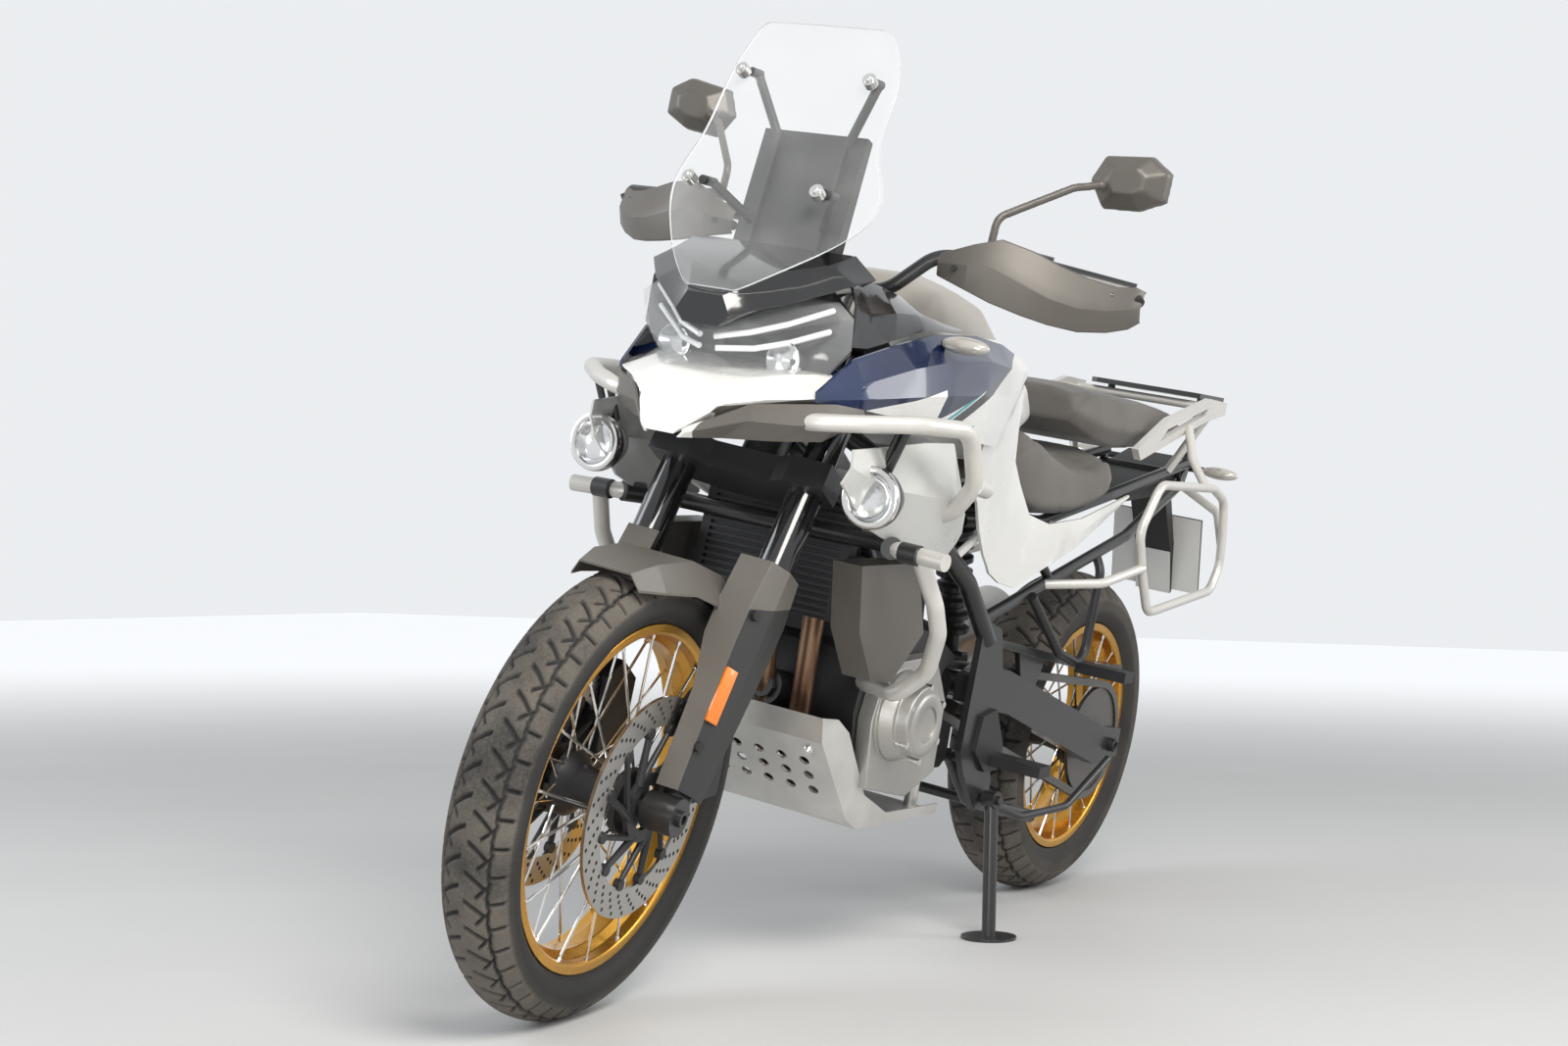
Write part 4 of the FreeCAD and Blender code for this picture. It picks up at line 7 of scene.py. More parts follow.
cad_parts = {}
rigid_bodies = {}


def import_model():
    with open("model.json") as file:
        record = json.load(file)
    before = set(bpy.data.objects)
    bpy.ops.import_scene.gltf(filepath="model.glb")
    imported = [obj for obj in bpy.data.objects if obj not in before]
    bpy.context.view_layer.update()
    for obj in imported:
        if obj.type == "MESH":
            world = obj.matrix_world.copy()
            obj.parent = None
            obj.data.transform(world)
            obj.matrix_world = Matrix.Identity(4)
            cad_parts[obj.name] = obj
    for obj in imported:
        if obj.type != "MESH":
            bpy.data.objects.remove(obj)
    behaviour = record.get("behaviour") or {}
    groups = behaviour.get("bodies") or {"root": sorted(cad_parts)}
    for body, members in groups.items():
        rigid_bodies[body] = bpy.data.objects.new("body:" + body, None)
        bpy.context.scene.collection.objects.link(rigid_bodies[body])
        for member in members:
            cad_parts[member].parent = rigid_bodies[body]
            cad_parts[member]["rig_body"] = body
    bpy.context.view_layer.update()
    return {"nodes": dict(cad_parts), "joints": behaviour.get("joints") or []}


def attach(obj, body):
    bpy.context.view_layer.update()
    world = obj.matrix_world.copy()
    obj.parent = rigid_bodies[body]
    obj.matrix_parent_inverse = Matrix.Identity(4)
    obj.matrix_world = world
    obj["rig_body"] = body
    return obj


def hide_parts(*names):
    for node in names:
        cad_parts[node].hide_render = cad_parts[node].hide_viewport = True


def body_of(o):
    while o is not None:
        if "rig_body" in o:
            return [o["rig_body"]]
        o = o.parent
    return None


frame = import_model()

nodes = frame["nodes"]

# The machine's own directions, upright and straight ahead, found from its joints: x runs
# forward, y to the rider's left, z up. The rear wheel's axle gives y, the steering axis the rake.
RAKE = math.radians(26)
REAR_AXLE = Vector((0, 0, 0.321))
FRONT_AXLE = Vector((1.531, 0, 0.329))
joints = {joint["name"]: joint for joint in frame["joints"]}
steering_axis = Vector(joints["steering_turn"]["axis"])


def upright_frame(axle, known_point):
    """The matrix that puts a point of the upright machine where it stands parked."""
    left = Vector(joints[axle]["axis"]).normalized()
    ahead = left.cross(steering_axis)
    forward = ahead * math.cos(RAKE) - steering_axis * math.sin(RAKE)
    up = ahead * math.sin(RAKE) + steering_axis * math.cos(RAKE)
    turned = Matrix((forward, left, up)).transposed()
    place = Vector(joints[axle]["pos_m"]) - turned @ known_point
    return Matrix.Translation(place) @ turned.to_4x4()


on_chassis = upright_frame("rear_wheel_spin", REAR_AXLE)
on_fork = upright_frame("front_wheel_spin", FRONT_AXLE)
HOLDERS = {"chassis": on_chassis, "rear_wheel": on_chassis, "steering": on_fork,
           "front_wheel": on_fork, "side_stand": on_chassis, "centre_stand": on_chassis}

# Camera: low and ahead of the machine on its left, slightly rolled. Its place, its heading and
# its focal length come from the fit to both wheel rims.
CAMERA_PLACE = Vector((3.3335, 1.6792, 0.6575))
CAMERA_HEADING = Vector((-0.8552, -0.5183, 0)).normalized()
PITCH, ROLL = math.radians(0.83), math.radians(0.723)
IMAGE_WIDTH, FOCAL_PIXELS = 1600, 2244.62
level_right = CAMERA_HEADING.cross(Vector((0, 0, 1)))
looking = CAMERA_HEADING * math.cos(PITCH) + Vector((0, 0, math.sin(PITCH)))
above = level_right.cross(looking)
right = level_right * math.cos(ROLL) + above * math.sin(ROLL)
over = above * math.cos(ROLL) - level_right * math.sin(ROLL)
camera_data = bpy.data.cameras.new("photo_view")
camera_data.sensor_width = 36
camera_data.lens = FOCAL_PIXELS / IMAGE_WIDTH * camera_data.sensor_width
camera = bpy.data.objects.new("photo_view", camera_data)
camera.matrix_world = (Matrix.Translation(CAMERA_PLACE)
                       @ Matrix((right, over, -looking)).transposed().to_4x4())
scene = bpy.context.scene
scene.collection.objects.link(camera)
scene.camera = camera
scene.view_settings.view_transform = "Standard"


# Floor: a plain pale floor that the machine stands on. It is the first thing with a finish, so
# the way every finish is written is set here.
class Wire:
    """A shader socket that takes part in sums, products and comparisons."""

    def __init__(self, finish, socket):
        self.finish, self.socket = finish, socket

    def _maths(self, operation, *values):
        return self.finish.node("ShaderNodeMath", {"operation": operation},
                                dict(enumerate(values)))

    def __add__(self, other):
        return self._maths("ADD", self, other)

    def __sub__(self, other):
        return self._maths("SUBTRACT", self, other)

    def __rsub__(self, other):
        return self._maths("SUBTRACT", other, self)

    def __mul__(self, other):
        return self._maths("MULTIPLY", self, other)

    def __pow__(self, other):
        return self._maths("POWER", self, other)

    def __gt__(self, other):
        return self._maths("GREATER_THAN", self, other)

    def __lt__(self, other):
        return self._maths("LESS_THAN", self, other)

    __radd__ = __add__
    __rmul__ = __mul__

    def size(self):
        return self._maths("ABSOLUTE", self)

    def part(self):
        return self._maths("FRACT", self)

    def least(self, other):
        return self._maths("MINIMUM", self, other)

    def most(self, other):
        return self._maths("MAXIMUM", self, other)


class Finish:
    """One material: its constant sockets are set first, then what varies is wired in."""

    def __init__(self, name, **constants):
        self.material = bpy.data.materials.new(name)
        self.material.use_nodes = True
        self.tree = self.material.node_tree
        self.shader = self.tree.nodes["Principled BSDF"]
        for socket, value in constants.items():
            target = self.shader.inputs[socket.replace("_", " ")]
            target.default_value = (*value, 1) if isinstance(value, tuple) else value

    def node(self, kind, settings=None, inputs=None, out=0):
        """Add a node with its settings and its sockets' values or wires; gives one output."""
        made = self.tree.nodes.new(kind)
        for key, value in (settings or {}).items():
            setattr(made, key, value)
        for key, value in (inputs or {}).items():
            if isinstance(value, Wire):
                self.tree.links.new(value.socket, made.inputs[key])
            elif isinstance(value, tuple) and made.inputs[key].type == "RGBA":
                made.inputs[key].default_value = (*value, 1)
            else:
                made.inputs[key].default_value = value
        return Wire(self, made.outputs[out])

    def place(self):
        """The point's own place on its piece, which moves with the piece."""
        return self.node("ShaderNodeTexCoord", out="Object")

    def axes(self, vector):
        """The x, y and z of a vector."""
        split = self.node("ShaderNodeSeparateXYZ", None, {0: vector})
        return [Wire(self, split.socket.node.outputs[number]) for number in range(3)]

    def noise(self, scale, detail):
        return self.node("ShaderNodeTexNoise", None,
                         {"Vector": self.place(), "Scale": scale, "Detail": detail}, out="Fac")

    def ramp(self, value, low, high):
        """0 below low, 1 above high and smooth between."""
        return self.node("ShaderNodeMapRange", {"interpolation_type": "SMOOTHSTEP"},
                         {"Value": value, "From Min": low, "From Max": high})

    def mix(self, share, first, second):
        return self.node("ShaderNodeMix", {"data_type": "RGBA"}, {0: share, 6: first, 7: second},
                         out=2)

    def set(self, socket, wire):
        self.tree.links.new(wire.socket, self.shader.inputs[socket])

    def bump(self, height, distance, strength):
        raised = self.node("ShaderNodeBump", None, {"Strength": strength, "Distance": distance,
                                                    "Height": height})
        self.set("Normal", raised)


FLOOR_HALF = 14
floor_mesh = bpy.data.meshes.new("floor")
floor_form = bmesh.new()
bmesh.ops.create_grid(floor_form, x_segments=1, y_segments=1, size=FLOOR_HALF)
floor_form.to_mesh(floor_mesh)
floor = bpy.data.objects.new("floor", floor_mesh)
scene.collection.objects.link(floor)
floor_finish = Finish("pale_floor", Roughness=0.55, Specular_IOR_Level=0.3)
floor_grain = floor_finish.noise(1.7, 5.0)
floor_finish.set("Base Color", floor_finish.mix(floor_grain, (0.60, 0.60, 0.60),
                                                (0.66, 0.66, 0.655)))
floor_x, floor_y, _ = floor_finish.axes(floor_finish.place())
floor_reach = (floor_x * floor_x + floor_y * floor_y) ** 0.5
FADE_START, FADE_END = 2.4, 9.5
floor_fade = floor_finish.ramp(floor_reach, FADE_START, FADE_END)
floor_finish.set("Emission Color", floor_finish.mix(floor_fade, (0, 0, 0), (0.60, 0.615, 0.63)))
floor_finish.shader.inputs["Emission Strength"].default_value = 1.0
floor_mesh.materials.append(floor_finish.material)

# Light: a soft key from ahead on the left, a fill from the right, one from the left behind, a low
# one from ahead, and a pale room that looks brighter, also in metal and glass, than it lights.
room = bpy.data.worlds.new("pale_room")
room.use_nodes = True
room_tree = room.node_tree
room_paint = room_tree.nodes["Background"]
room_paint.inputs["Color"].default_value = (0.86, 0.88, 0.9, 1)
ray = room_tree.nodes.new("ShaderNodeLightPath")
shown = ray.outputs["Is Camera Ray"]
for kind in ("Is Glossy Ray", "Is Transmission Ray"):
    either = room_tree.nodes.new("ShaderNodeMath")
    either.operation = "MAXIMUM"
    room_tree.links.new(shown, either.inputs[0])
    room_tree.links.new(ray.outputs[kind], either.inputs[1])
    shown = either.outputs[0]
LIGHT_STRENGTH, EXTRA_WHERE_SEEN = 0.42, 0.55
strength = room_tree.nodes.new("ShaderNodeMath")
strength.operation = "MULTIPLY_ADD"
strength.inputs[1].default_value = EXTRA_WHERE_SEEN
strength.inputs[2].default_value = LIGHT_STRENGTH
room_tree.links.new(shown, strength.inputs[0])
room_tree.links.new(strength.outputs[0], room_paint.inputs["Strength"])
scene.world = room


def lamp(name, place, target, size, power, tint=(1, 1, 1)):
    """A round soft light that is aimed at a point."""
    data = bpy.data.lights.new(name, "AREA")
    data.shape, data.size, data.energy, data.color = "DISK", size, power, tint
    made = bpy.data.objects.new(name, data)
    aim = (Vector(target) - Vector(place)).to_track_quat("-Z", "Y")
    made.matrix_world = Matrix.Translation(place) @ aim.to_matrix().to_4x4()
    scene.collection.objects.link(made)


lamp("key", (2.6, 2.6, 3.4), (0.2, 0, 0.7), 2.2, 180, (1, 0.97, 0.92))
lamp("fill", (2.2, -3.2, 2.2), (0, 0, 0.6), 2.5, 60, (0.93, 0.96, 1))
lamp("side", (-1.8, 3.6, 1.9), (-0.3, 0, 0.6), 2.2, 60)
lamp("low", (3.4, 1.0, 0.5), (0.6, 0, 0.4), 1.2, 22)

# Tyres: two dual-purpose tyres of black rubber with deep S-shaped grooves, moulded over a round
# crown and seated on the rims. The running surface is dusty, the grooves and sides stay dark.
TREAD_DEPTH = 0.0055
GROOVE_HALF, GROOVE_WALL = 0.0034, 0.0014
CROWN_STEPS, ROUND_STEPS = 26, 960
SPIN_WELD = 0.00002
FRONT_TYRE = {"radius": 0.3285, "half": 0.0545, "crown": 0.058, "wrap": math.radians(62),
              "bead": (0.2525, 0.041), "pitches": 50}
REAR_TYRE = {"radius": 0.3205, "half": 0.0745, "crown": 0.085, "wrap": math.radians(60),
             "bead": (0.2275, 0.061), "pitches": 46}


def settle(name, form, body, finish, slot, *replaced, flat=None):
    """Make a piece of a form that is drawn on the upright machine and put it on its body."""
    mesh = bpy.data.meshes.new(name)
    form.to_mesh(mesh)
    form.free()
    marks = mesh.attributes.new("upright", "FLOAT_VECTOR", "POINT")
    marks.data.foreach_set("vector", [value for vertex in mesh.vertices for value in vertex.co])
    mesh.transform(HOLDERS[body])
    mesh.shade_smooth()
    if flat:
        mesh.set_sharp_from_angle(angle=math.radians(flat))
    made = bpy.data.objects.new(name, mesh)
    scene.collection.objects.link(made)
    mesh.materials.append(finish.material)
    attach(made, body)
    if replaced:
        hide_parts(*replaced)
    return made


def spun(line, centre, axis=(0, 1, 0), steps=72):
    """Spin a line of (radius, distance along the axis) points round a centre."""
    form = bmesh.new()
    ring = [form.verts.new(centre + Vector(axis) * along + Vector((0, 0, radius)))
            for radius, along in line]
    for start, end in zip(ring, ring[1:]):
        form.edges.new((start, end))
    bmesh.ops.spin(form, geom=form.verts[:] + form.edges[:], cent=centre, axis=axis,
                   dvec=(0, 0, 0), angle=math.tau, steps=steps, use_merge=True)
    bmesh.ops.remove_doubles(form, verts=form.verts, dist=SPIN_WELD)
    bmesh.ops.recalc_face_normals(form, faces=form.faces)
    return form


def groove(turn, share, side, tyre):
    """How far a point of the tread lies in a groove: 0 on a block, 1 at a groove's floor."""
    length = math.tau * tyre["radius"] / tyre["pitches"]
    start = turn / math.tau * tyre["pitches"] + (0.5 if side < 0 else 0)
    sweep = abs((start + 0.15 + 1.3 * share ** 1.4) % 1 - 0.5) * length * 0.8
    branch = abs((start + 0.5 - 1.5 * share) % 1 - 0.5) * length * 0.8
    zigzag = abs(share - 0.6 - 0.1 * (abs(start % 1 - 0.5) - 0.25)) * tyre["wrap"] * tyre["crown"]
    outer = abs((start + 0.25) % 1 - 0.5) * length
    gaps = [zigzag + 0.0004]
    if 0.04 < share < 0.62:
        gaps.append(sweep)
    if 0.34 < share < 0.60:
        gaps.append(branch)
    if 0.58 < share < 0.98:
        gaps.append(outer)
    return max(0.0, min(1.0, (GROOVE_HALF - min(gaps)) / GROOVE_WALL))


def tread_tyre(name, body, axle, tyre, finish):
    """Spin a tyre's section round its axle, then press the tread pattern into the crown."""
    crown, wrap = tyre["crown"], tyre["wrap"]
    edge_r, edge_y = tyre["radius"] - crown * (1 - math.cos(wrap)), crown * math.sin(wrap)
    bead_r, bead_y = tyre["bead"]
    flank = [(bead_r, bead_y * 0.86), (bead_r + 0.004, bead_y), (bead_r + 0.009, bead_y + 0.004),
             ((bead_r + edge_r) / 2 - 0.004, tyre["half"]),
             ((bead_r + edge_r) / 2 + 0.006, tyre["half"]), (edge_r - 0.006, edge_y + 0.0012)]
    leans = [wrap * step / CROWN_STEPS for step in range(CROWN_STEPS, -CROWN_STEPS - 1, -1)]
    arc = [(tyre["radius"] - crown * (1 - math.cos(lean)), crown * math.sin(lean))
           for lean in leans]
    line = flank + arc + [(r, -y) for r, y in reversed(flank)]
    form = spun(line, axle, steps=ROUND_STEPS)
    depth = form.verts.layers.float.new("groove")
    for vertex in form.verts:
        out = vertex.co - axle
        reach, y = math.hypot(out.x, out.z), out.y
        lean = math.atan2(y, reach - tyre["radius"] + crown)
        share = abs(lean) / wrap
        if share < 1.001:
            sunk = groove(math.atan2(out.z, out.x), share, y, tyre)
            outward = Vector((out.x, 0, out.z)) / reach * math.cos(lean)
            outward.y = math.sin(lean)
            vertex.co -= outward * TREAD_DEPTH * sunk
            vertex[depth] = sunk
        else:
            vertex[depth] = 0.75 + 0.25 * math.sin(share * 40)
    return settle(name, form, body, finish, "tyre", f"{body.split('_')[0]}_tyre")


def attribute(finish, name, out="Fac"):
    """A value or a place that is kept with each vertex of a piece."""
    return finish.node("ShaderNodeAttribute", {"attribute_name": name}, out=out)


rubber = Finish("dusty_rubber", Specular_IOR_Level=0.35)
sunk = attribute(rubber, "groove")
dust = rubber.noise(9.0, 6.0)
speck = rubber.noise(260.0, 3.0)
worn = (1 - sunk) * rubber.ramp(dust + speck * 0.3, 0.35, 0.85)
rubber.set("Base Color", rubber.mix(worn, (0.014, 0.014, 0.014), (0.130, 0.115, 0.098)))
rubber.set("Roughness", 0.66 + worn * 0.25)
rubber.bump(speck, 0.0004, 0.6)
tread_tyre("front_tread_tyre", "front_wheel", FRONT_AXLE, FRONT_TYRE, rubber)
tread_tyre("rear_tread_tyre", "rear_wheel", REAR_AXLE, REAR_TYRE, rubber)

# Rims, hubs and spokes: gold anodised alloy rims, black cast hubs, and polished steel spokes
# that leave the hub's flanges in crossing pairs and are held at the rim's edges by nipples.
WELD, LEVEL_WITHIN, ROUNDED_FROM = 0.00003, math.radians(0.7), math.radians(26)
SPOKES, SPOKE_LEAN = 36, math.radians(27)
SPOKE_RADIUS, NIPPLE_RADIUS, HEAD_RADIUS = 0.0021, 0.0034, 0.0036


def even(name, colour, rough, metal=0.0, coat=0.0, grain=600.0, depth=0.0001, vary=0.12):
    """A plain finish with slight clouds in colour and gloss and a fine grain."""
    made = Finish(name, Metallic=metal, Coat_Weight=coat, Coat_Roughness=0.06)
    cloud = made.noise(7.0, 5.0)
    fine = made.noise(grain, 2.0)
    dark = tuple(c * (1 - vary) for c in colour)
    light = tuple(min(1, c * (1 + vary)) for c in colour)
    made.set("Base Color", made.mix(made.ramp(cloud, 0.3, 0.7), dark, light))
    made.set("Roughness", rough + (cloud - 0.5) * 0.14 + (fine - 0.5) * 0.06)
    made.bump(fine, depth, 0.5)
    return made


def refined(node, finish, slot, bevel, segments=2):
    """A copy of a CAD node with its edges rounded, which stands for that node."""
    source = nodes[node]
    body = body_of(source)[0]
    form = bmesh.new()
    form.from_mesh(source.data)
    bmesh.ops.remove_doubles(form, verts=form.verts, dist=WELD)
    bmesh.ops.dissolve_limit(form, angle_limit=LEVEL_WITHIN, verts=form.verts, edges=form.edges)
    bmesh.ops.transform(form, matrix=HOLDERS[body].inverted(), verts=form.verts)
    if bevel:
        edges = [edge for edge in form.edges
                 if edge.is_manifold and edge.calc_face_angle(0) > ROUNDED_FROM]
        bmesh.ops.bevel(form, geom=edges, offset=bevel, offset_type="OFFSET", segments=segments,
                        profile=0.5, affect="EDGES", material=-1, clamp_overlap=True)
    made = settle(f"{node}_finished", form, body, finish, slot, node, flat=42)
    made.modifiers.new("even_shading", "WEIGHTED_NORMAL").keep_sharp = True
    return made


gold = even("gold_anodised", (0.62, 0.32, 0.045), 0.28, 0.9, 0.15)
black_cast = even("black_cast_alloy", (0.028, 0.028, 0.03), 0.42, 0.4)
bright_steel = even("polished_steel", (0.72, 0.71, 0.69), 0.18, 1.0, vary=0.04)
refined("front_rim", gold, "gold_rim", 0.0015)
refined("rear_rim", gold, "gold_rim", 0.0015)


def rod(form, start, end, radius, sides=8, tip=None):
    """Add a straight round bar between two points to a form."""
    start, end = Vector(start), Vector(end)
    along = end - start
    place = (Matrix.Translation((start + end) / 2)
             @ along.to_track_quat("Z", "Y").to_matrix().to_4x4())
    bmesh.ops.create_cone(form, cap_ends=True, segments=sides, radius1=radius,
                          radius2=radius if tip is None else tip, depth=along.length,
                          matrix=place)


def wheel_spokes(name, axle, rim_radius, rim_half, hub_radius, hub_half, inner):
    """Crossing spokes from both flanges of a hub to the rim, and the hub's turned shell."""
    body = f"{name}_wheel"
    form = bmesh.new()
    for number in range(SPOKES):
        side = 1 if number % 2 else -1
        lean = 1 if number % 4 < 2 else -1
        turn = math.tau * number / SPOKES
        root = turn - lean * SPOKE_LEAN
        start = axle + Vector((math.cos(root) * hub_radius, side * hub_half,
                               math.sin(root) * hub_radius))
        end = axle + Vector((math.cos(turn) * rim_radius, side * rim_half,
                             math.sin(turn) * rim_radius))
        back = (start - end).normalized()
        rod(form, start, end, SPOKE_RADIUS)
        rod(form, end + back * 0.016, end, NIPPLE_RADIUS, 6)
        rod(form, start - back * 0.004, start + back * 0.006, HEAD_RADIUS, 8)
    settle(f"{name}_spokes", form, body, bright_steel, "dark_metal", flat=40)
    flange = [(inner / hub_radius, 1.28), (0.82, 1.3), (1.1, 1.22), (1.14, 1.0), (1.02, 0.82),
              (0.74, 0.6)]
    line = flange + [(0.66, 0)] + [(r, -y) for r, y in reversed(flange)] + flange[:1]
    shell = [(hub_radius * r, hub_half * y) for r, y in line]
    settle(f"{name}_hub_shell", spun(shell, axle), body, black_cast, "dark_metal",
           f"{name}_hub", flat=35)


wheel_spokes("front", FRONT_AXLE, 0.2475, 0.034, 0.043, 0.045, 0.0165)
wheel_spokes("rear", REAR_AXLE, 0.2225, 0.053, 0.052, 0.05, 0.019)

# Discs and calipers: perforated steel rings floating on black carriers, gripped by black
# calipers. The rear hub has one disc on the right and the chain's steel sprocket on the left.
DISC_RADIUS, DISC_OFFSET, DISC_HALF = 0.1595, 0.075, 0.0025
CARRIER_RADIUS, DISC_BORE = 0.112, 0.045
ARMS, ARM_LEAN, ARM_SPREAD = 6, 0.45, 0.52
HOLES_ROUND, HOLE_RADIUS, HOLE_RINGS = 30, 0.0032, 0.160
sprocket_steel = even("sprocket_steel", (0.16, 0.155, 0.15), 0.42, 0.9)


def upright(finish):
    """The x, y and z of a point where it lies on the upright machine."""
    return finish.axes(attribute(finish, "upright", out="Vector"))


def brake_disc(name, centre, *replaced):
    """A ring whose holes are painted shade from its finish, a spoked carrier inside it and the
    buttons between.
    """
    ring = bmesh.new()
    place = Matrix.Translation(centre) @ Matrix.Rotation(math.radians(90), 4, "X")
    bmesh.ops.create_circle(ring, cap_ends=False, segments=160, radius=DISC_RADIUS, matrix=place)
    bmesh.ops.create_circle(ring, cap_ends=False, segments=160, radius=DISC_RADIUS * 0.735,
                            matrix=place)
    bmesh.ops.bridge_loops(ring, edges=ring.edges)
    raised = bmesh.ops.extrude_face_region(ring, geom=ring.faces[:])
    far_side = [item for item in raised["geom"] if isinstance(item, bmesh.types.BMVert)]
    bmesh.ops.translate(ring, verts=far_side, vec=(0, DISC_HALF * 2, 0))
    bmesh.ops.translate(ring, verts=ring.verts, vec=(0, -DISC_HALF, 0))
    bmesh.ops.recalc_face_normals(ring, faces=ring.faces)
    settle(f"{name}_ring", ring, "front_wheel", disc_finish, "steel", flat=40)
    carrier = bmesh.new()
    button = Vector((0, 0.005, 0))
    for number in range(ARMS):
        turn = math.tau * (number + 0.25) / ARMS
        root = turn - ARM_LEAN
        start = centre + Vector((math.cos(root), 0, math.sin(root))) * DISC_BORE
        for ahead, thick, thin in ((0, 0.0065, 0.0045), (ARM_SPREAD, 0.0055, 0.004)):
            end = centre + Vector((math.cos(turn + ahead), 0,
                                   math.sin(turn + ahead))) * CARRIER_RADIUS
            rod(carrier, start, end, thick, 10, thin)
            rod(carrier, end - button, end + button, 0.0085, 16)
    settle(f"{name}_carrier", carrier, "front_wheel", black_cast, "steel", *replaced, flat=40)
    eye = [(DISC_BORE * r, y) for r, y in ((0.72, -0.004), (1.12, -0.004), (1.12, 0.004),
                                           (0.72, 0.004), (0.72, -0.004))]
    settle(f"{name}_eye", spun(eye, centre), "front_wheel", black_cast, "steel", flat=35)


disc_finish = Finish("disc_steel_with_painted_hole_shade", Metallic=1.0)
disc_x, _, disc_z = upright(disc_finish)
ahead, up = disc_x - FRONT_AXLE.x, disc_z - FRONT_AXLE.z
reach = (ahead * ahead + up * up) ** 0.5
turn = disc_finish.node("ShaderNodeMath", {"operation": "ARCTAN2"}, {0: up, 1: ahead})
# The drilled holes lie in slanting rows: each ring of them is turned on from the last one
painted_hole_shade = None
for share, shift in ((0.80, 0.0), (0.85, 0.27), (0.90, 0.54), (0.955, 0.81)):
    pitch = math.tau * HOLE_RINGS * share / HOLES_ROUND
    across = ((turn * (HOLES_ROUND / math.tau) + shift + 100).part() - 0.5) * pitch
    along = reach - HOLE_RINGS * share
    shaded_hole_spot = (across * across + along * along) ** 0.5 < HOLE_RADIUS
    painted_hole_shade = painted_hole_shade.most(shaded_hole_spot) if painted_hole_shade else shaded_hole_spot
# The holes are not cut: their spots are painted near black and matt, a painted shade for the open
# holes.
disc_finish.set("Base Color", disc_finish.mix(painted_hole_shade, (0.46, 0.45, 0.43), (0.008, 0.008, 0.008)))
disc_finish.set("Metallic", 1 - painted_hole_shade)
disc_finish.set("Roughness", 0.28 + painted_hole_shade * 0.6)
disc_finish.bump(1 - painted_hole_shade, 0.002, 0.8)
disc_shift = Vector((0, DISC_OFFSET, 0))
brake_disc("front_disc_right", FRONT_AXLE - disc_shift)
brake_disc("front_disc_left", FRONT_AXLE + disc_shift, "front_discs")
refined("front_calipers", black_cast, "dark_metal", 0.004, segments=3)
refined("rear_caliper", black_cast, "dark_metal", 0.003)
refined("rear_disc_sprocket", sprocket_steel, "steel", 0.0008)
refined("drive_chain", sprocket_steel, "chain", 0)

# Fork: upside-down legs with glossy black outer tubes, black sliders that carry the axle, two
# black clamps and the bar. Turned parts are anodised, cast parts and the bar enamelled.
gloss_black = even("gloss_black_anodised", (0.012, 0.012, 0.013), 0.12, 0.35, 0.9, vary=0.05)
satin_black = even("satin_black_enamel", (0.018, 0.018, 0.019), 0.36, 0.1, 0.3)
refined("fork_outer_tubes", gloss_black, "dark_metal", 0.001)
refined("fork_sliders", satin_black, "dark_metal", 0.0015)
refined("triple_clamps", satin_black, "dark_metal", 0.003, segments=3)
refined("handlebar", satin_black, "frame_black", 0.001)

# Front mudguard and fork guards: one taupe moulding that arches over the tyre and runs down
# ahead of each leg, with black flanks. Injection moulded, matt on show, bolted to the legs.
taupe = even("matt_taupe_plastic", (0.118, 0.108, 0.095), 0.42, 0.35, grain=1400.0, vary=0.05)
black_plastic = even("grained_black_plastic", (0.02, 0.02, 0.02), 0.5, grain=1200.0, depth=0.0002)
guard_paint = Finish("taupe_guard_black_flank", Specular_IOR_Level=0.5)
_, guard_y, guard_z = upright(guard_paint)
FLANK_OUTSIDE, FLANK_BELOW = 0.1205, 0.62
flank_mask = (guard_y.size() > FLANK_OUTSIDE) * (guard_z < FLANK_BELOW)
guard_cloud = guard_paint.noise(7.0, 5.0)
guard_paint.set("Base Color", guard_paint.mix(flank_mask, (0.118, 0.108, 0.095),
                                              (0.02, 0.02, 0.02)))
guard_paint.set("Roughness", 0.38 + flank_mask * 0.08 + guard_cloud * 0.08)
guard_paint.bump(guard_paint.noise(1400.0, 2.0), 0.0001, 0.5)
refined("front_mudguard", guard_paint, "titan_grey", 0.002)
amber = even("amber_reflector", (0.78, 0.20, 0.015), 0.24, 0.0, 0.7, grain=900.0, depth=0.0006)


def slab(form, middle, along, out, length, width, thickness, soft=0.001):
    """Add a flat bar with soft edges: where it is, its run, its face's direction and sizes."""
    run, face = Vector(along).normalized(), Vector(out).normalized()
    across = face.cross(run).normalized()
    place = Matrix((run * length, across * width, run.cross(across) * thickness)).transposed()
    made = bmesh.ops.create_cube(form, size=1,
                                 matrix=Matrix.Translation(middle) @ place.to_4x4())
    edges = {edge for vertex in made["verts"] for edge in vertex.link_edges}
    bmesh.ops.bevel(form, geom=list(edges), offset=soft, segments=2, profile=0.5,
                    affect="EDGES", material=-1, clamp_overlap=True)


def bolt(form, middle, out, radius, height):
    """Add a round head with a hollow on a face."""
    face = Vector(out).normalized()
    base = Vector(middle)
    rod(form, base, base + face * height, radius, 16, radius * 0.86)
    rod(form, base + face * height * 0.6, base + face * (height + 0.0004), radius * 0.45, 6)


lights, studs = bmesh.new(), bmesh.new()
for side in (-1, 1):
    slab(lights, (1.4722, side * 0.1275, 0.4985), (0.034, 0, -0.074), (0.43, side * 0.885, 0.18),
         0.082, 0.021, 0.006)
    bolt(studs, (1.418, side * 0.1285, 0.612), (0.37, side * 0.91, 0.18), 0.008, 0.004)
    bolt(studs, (1.508, side * 0.1262, 0.428), (0.44, side * 0.88, 0.18), 0.008, 0.004)
settle("fork_reflectors", lights, "steering", amber, "amber", flat=40)
settle("fork_guard_bolts", studs, "steering", black_cast, "dark_metal", flat=40)

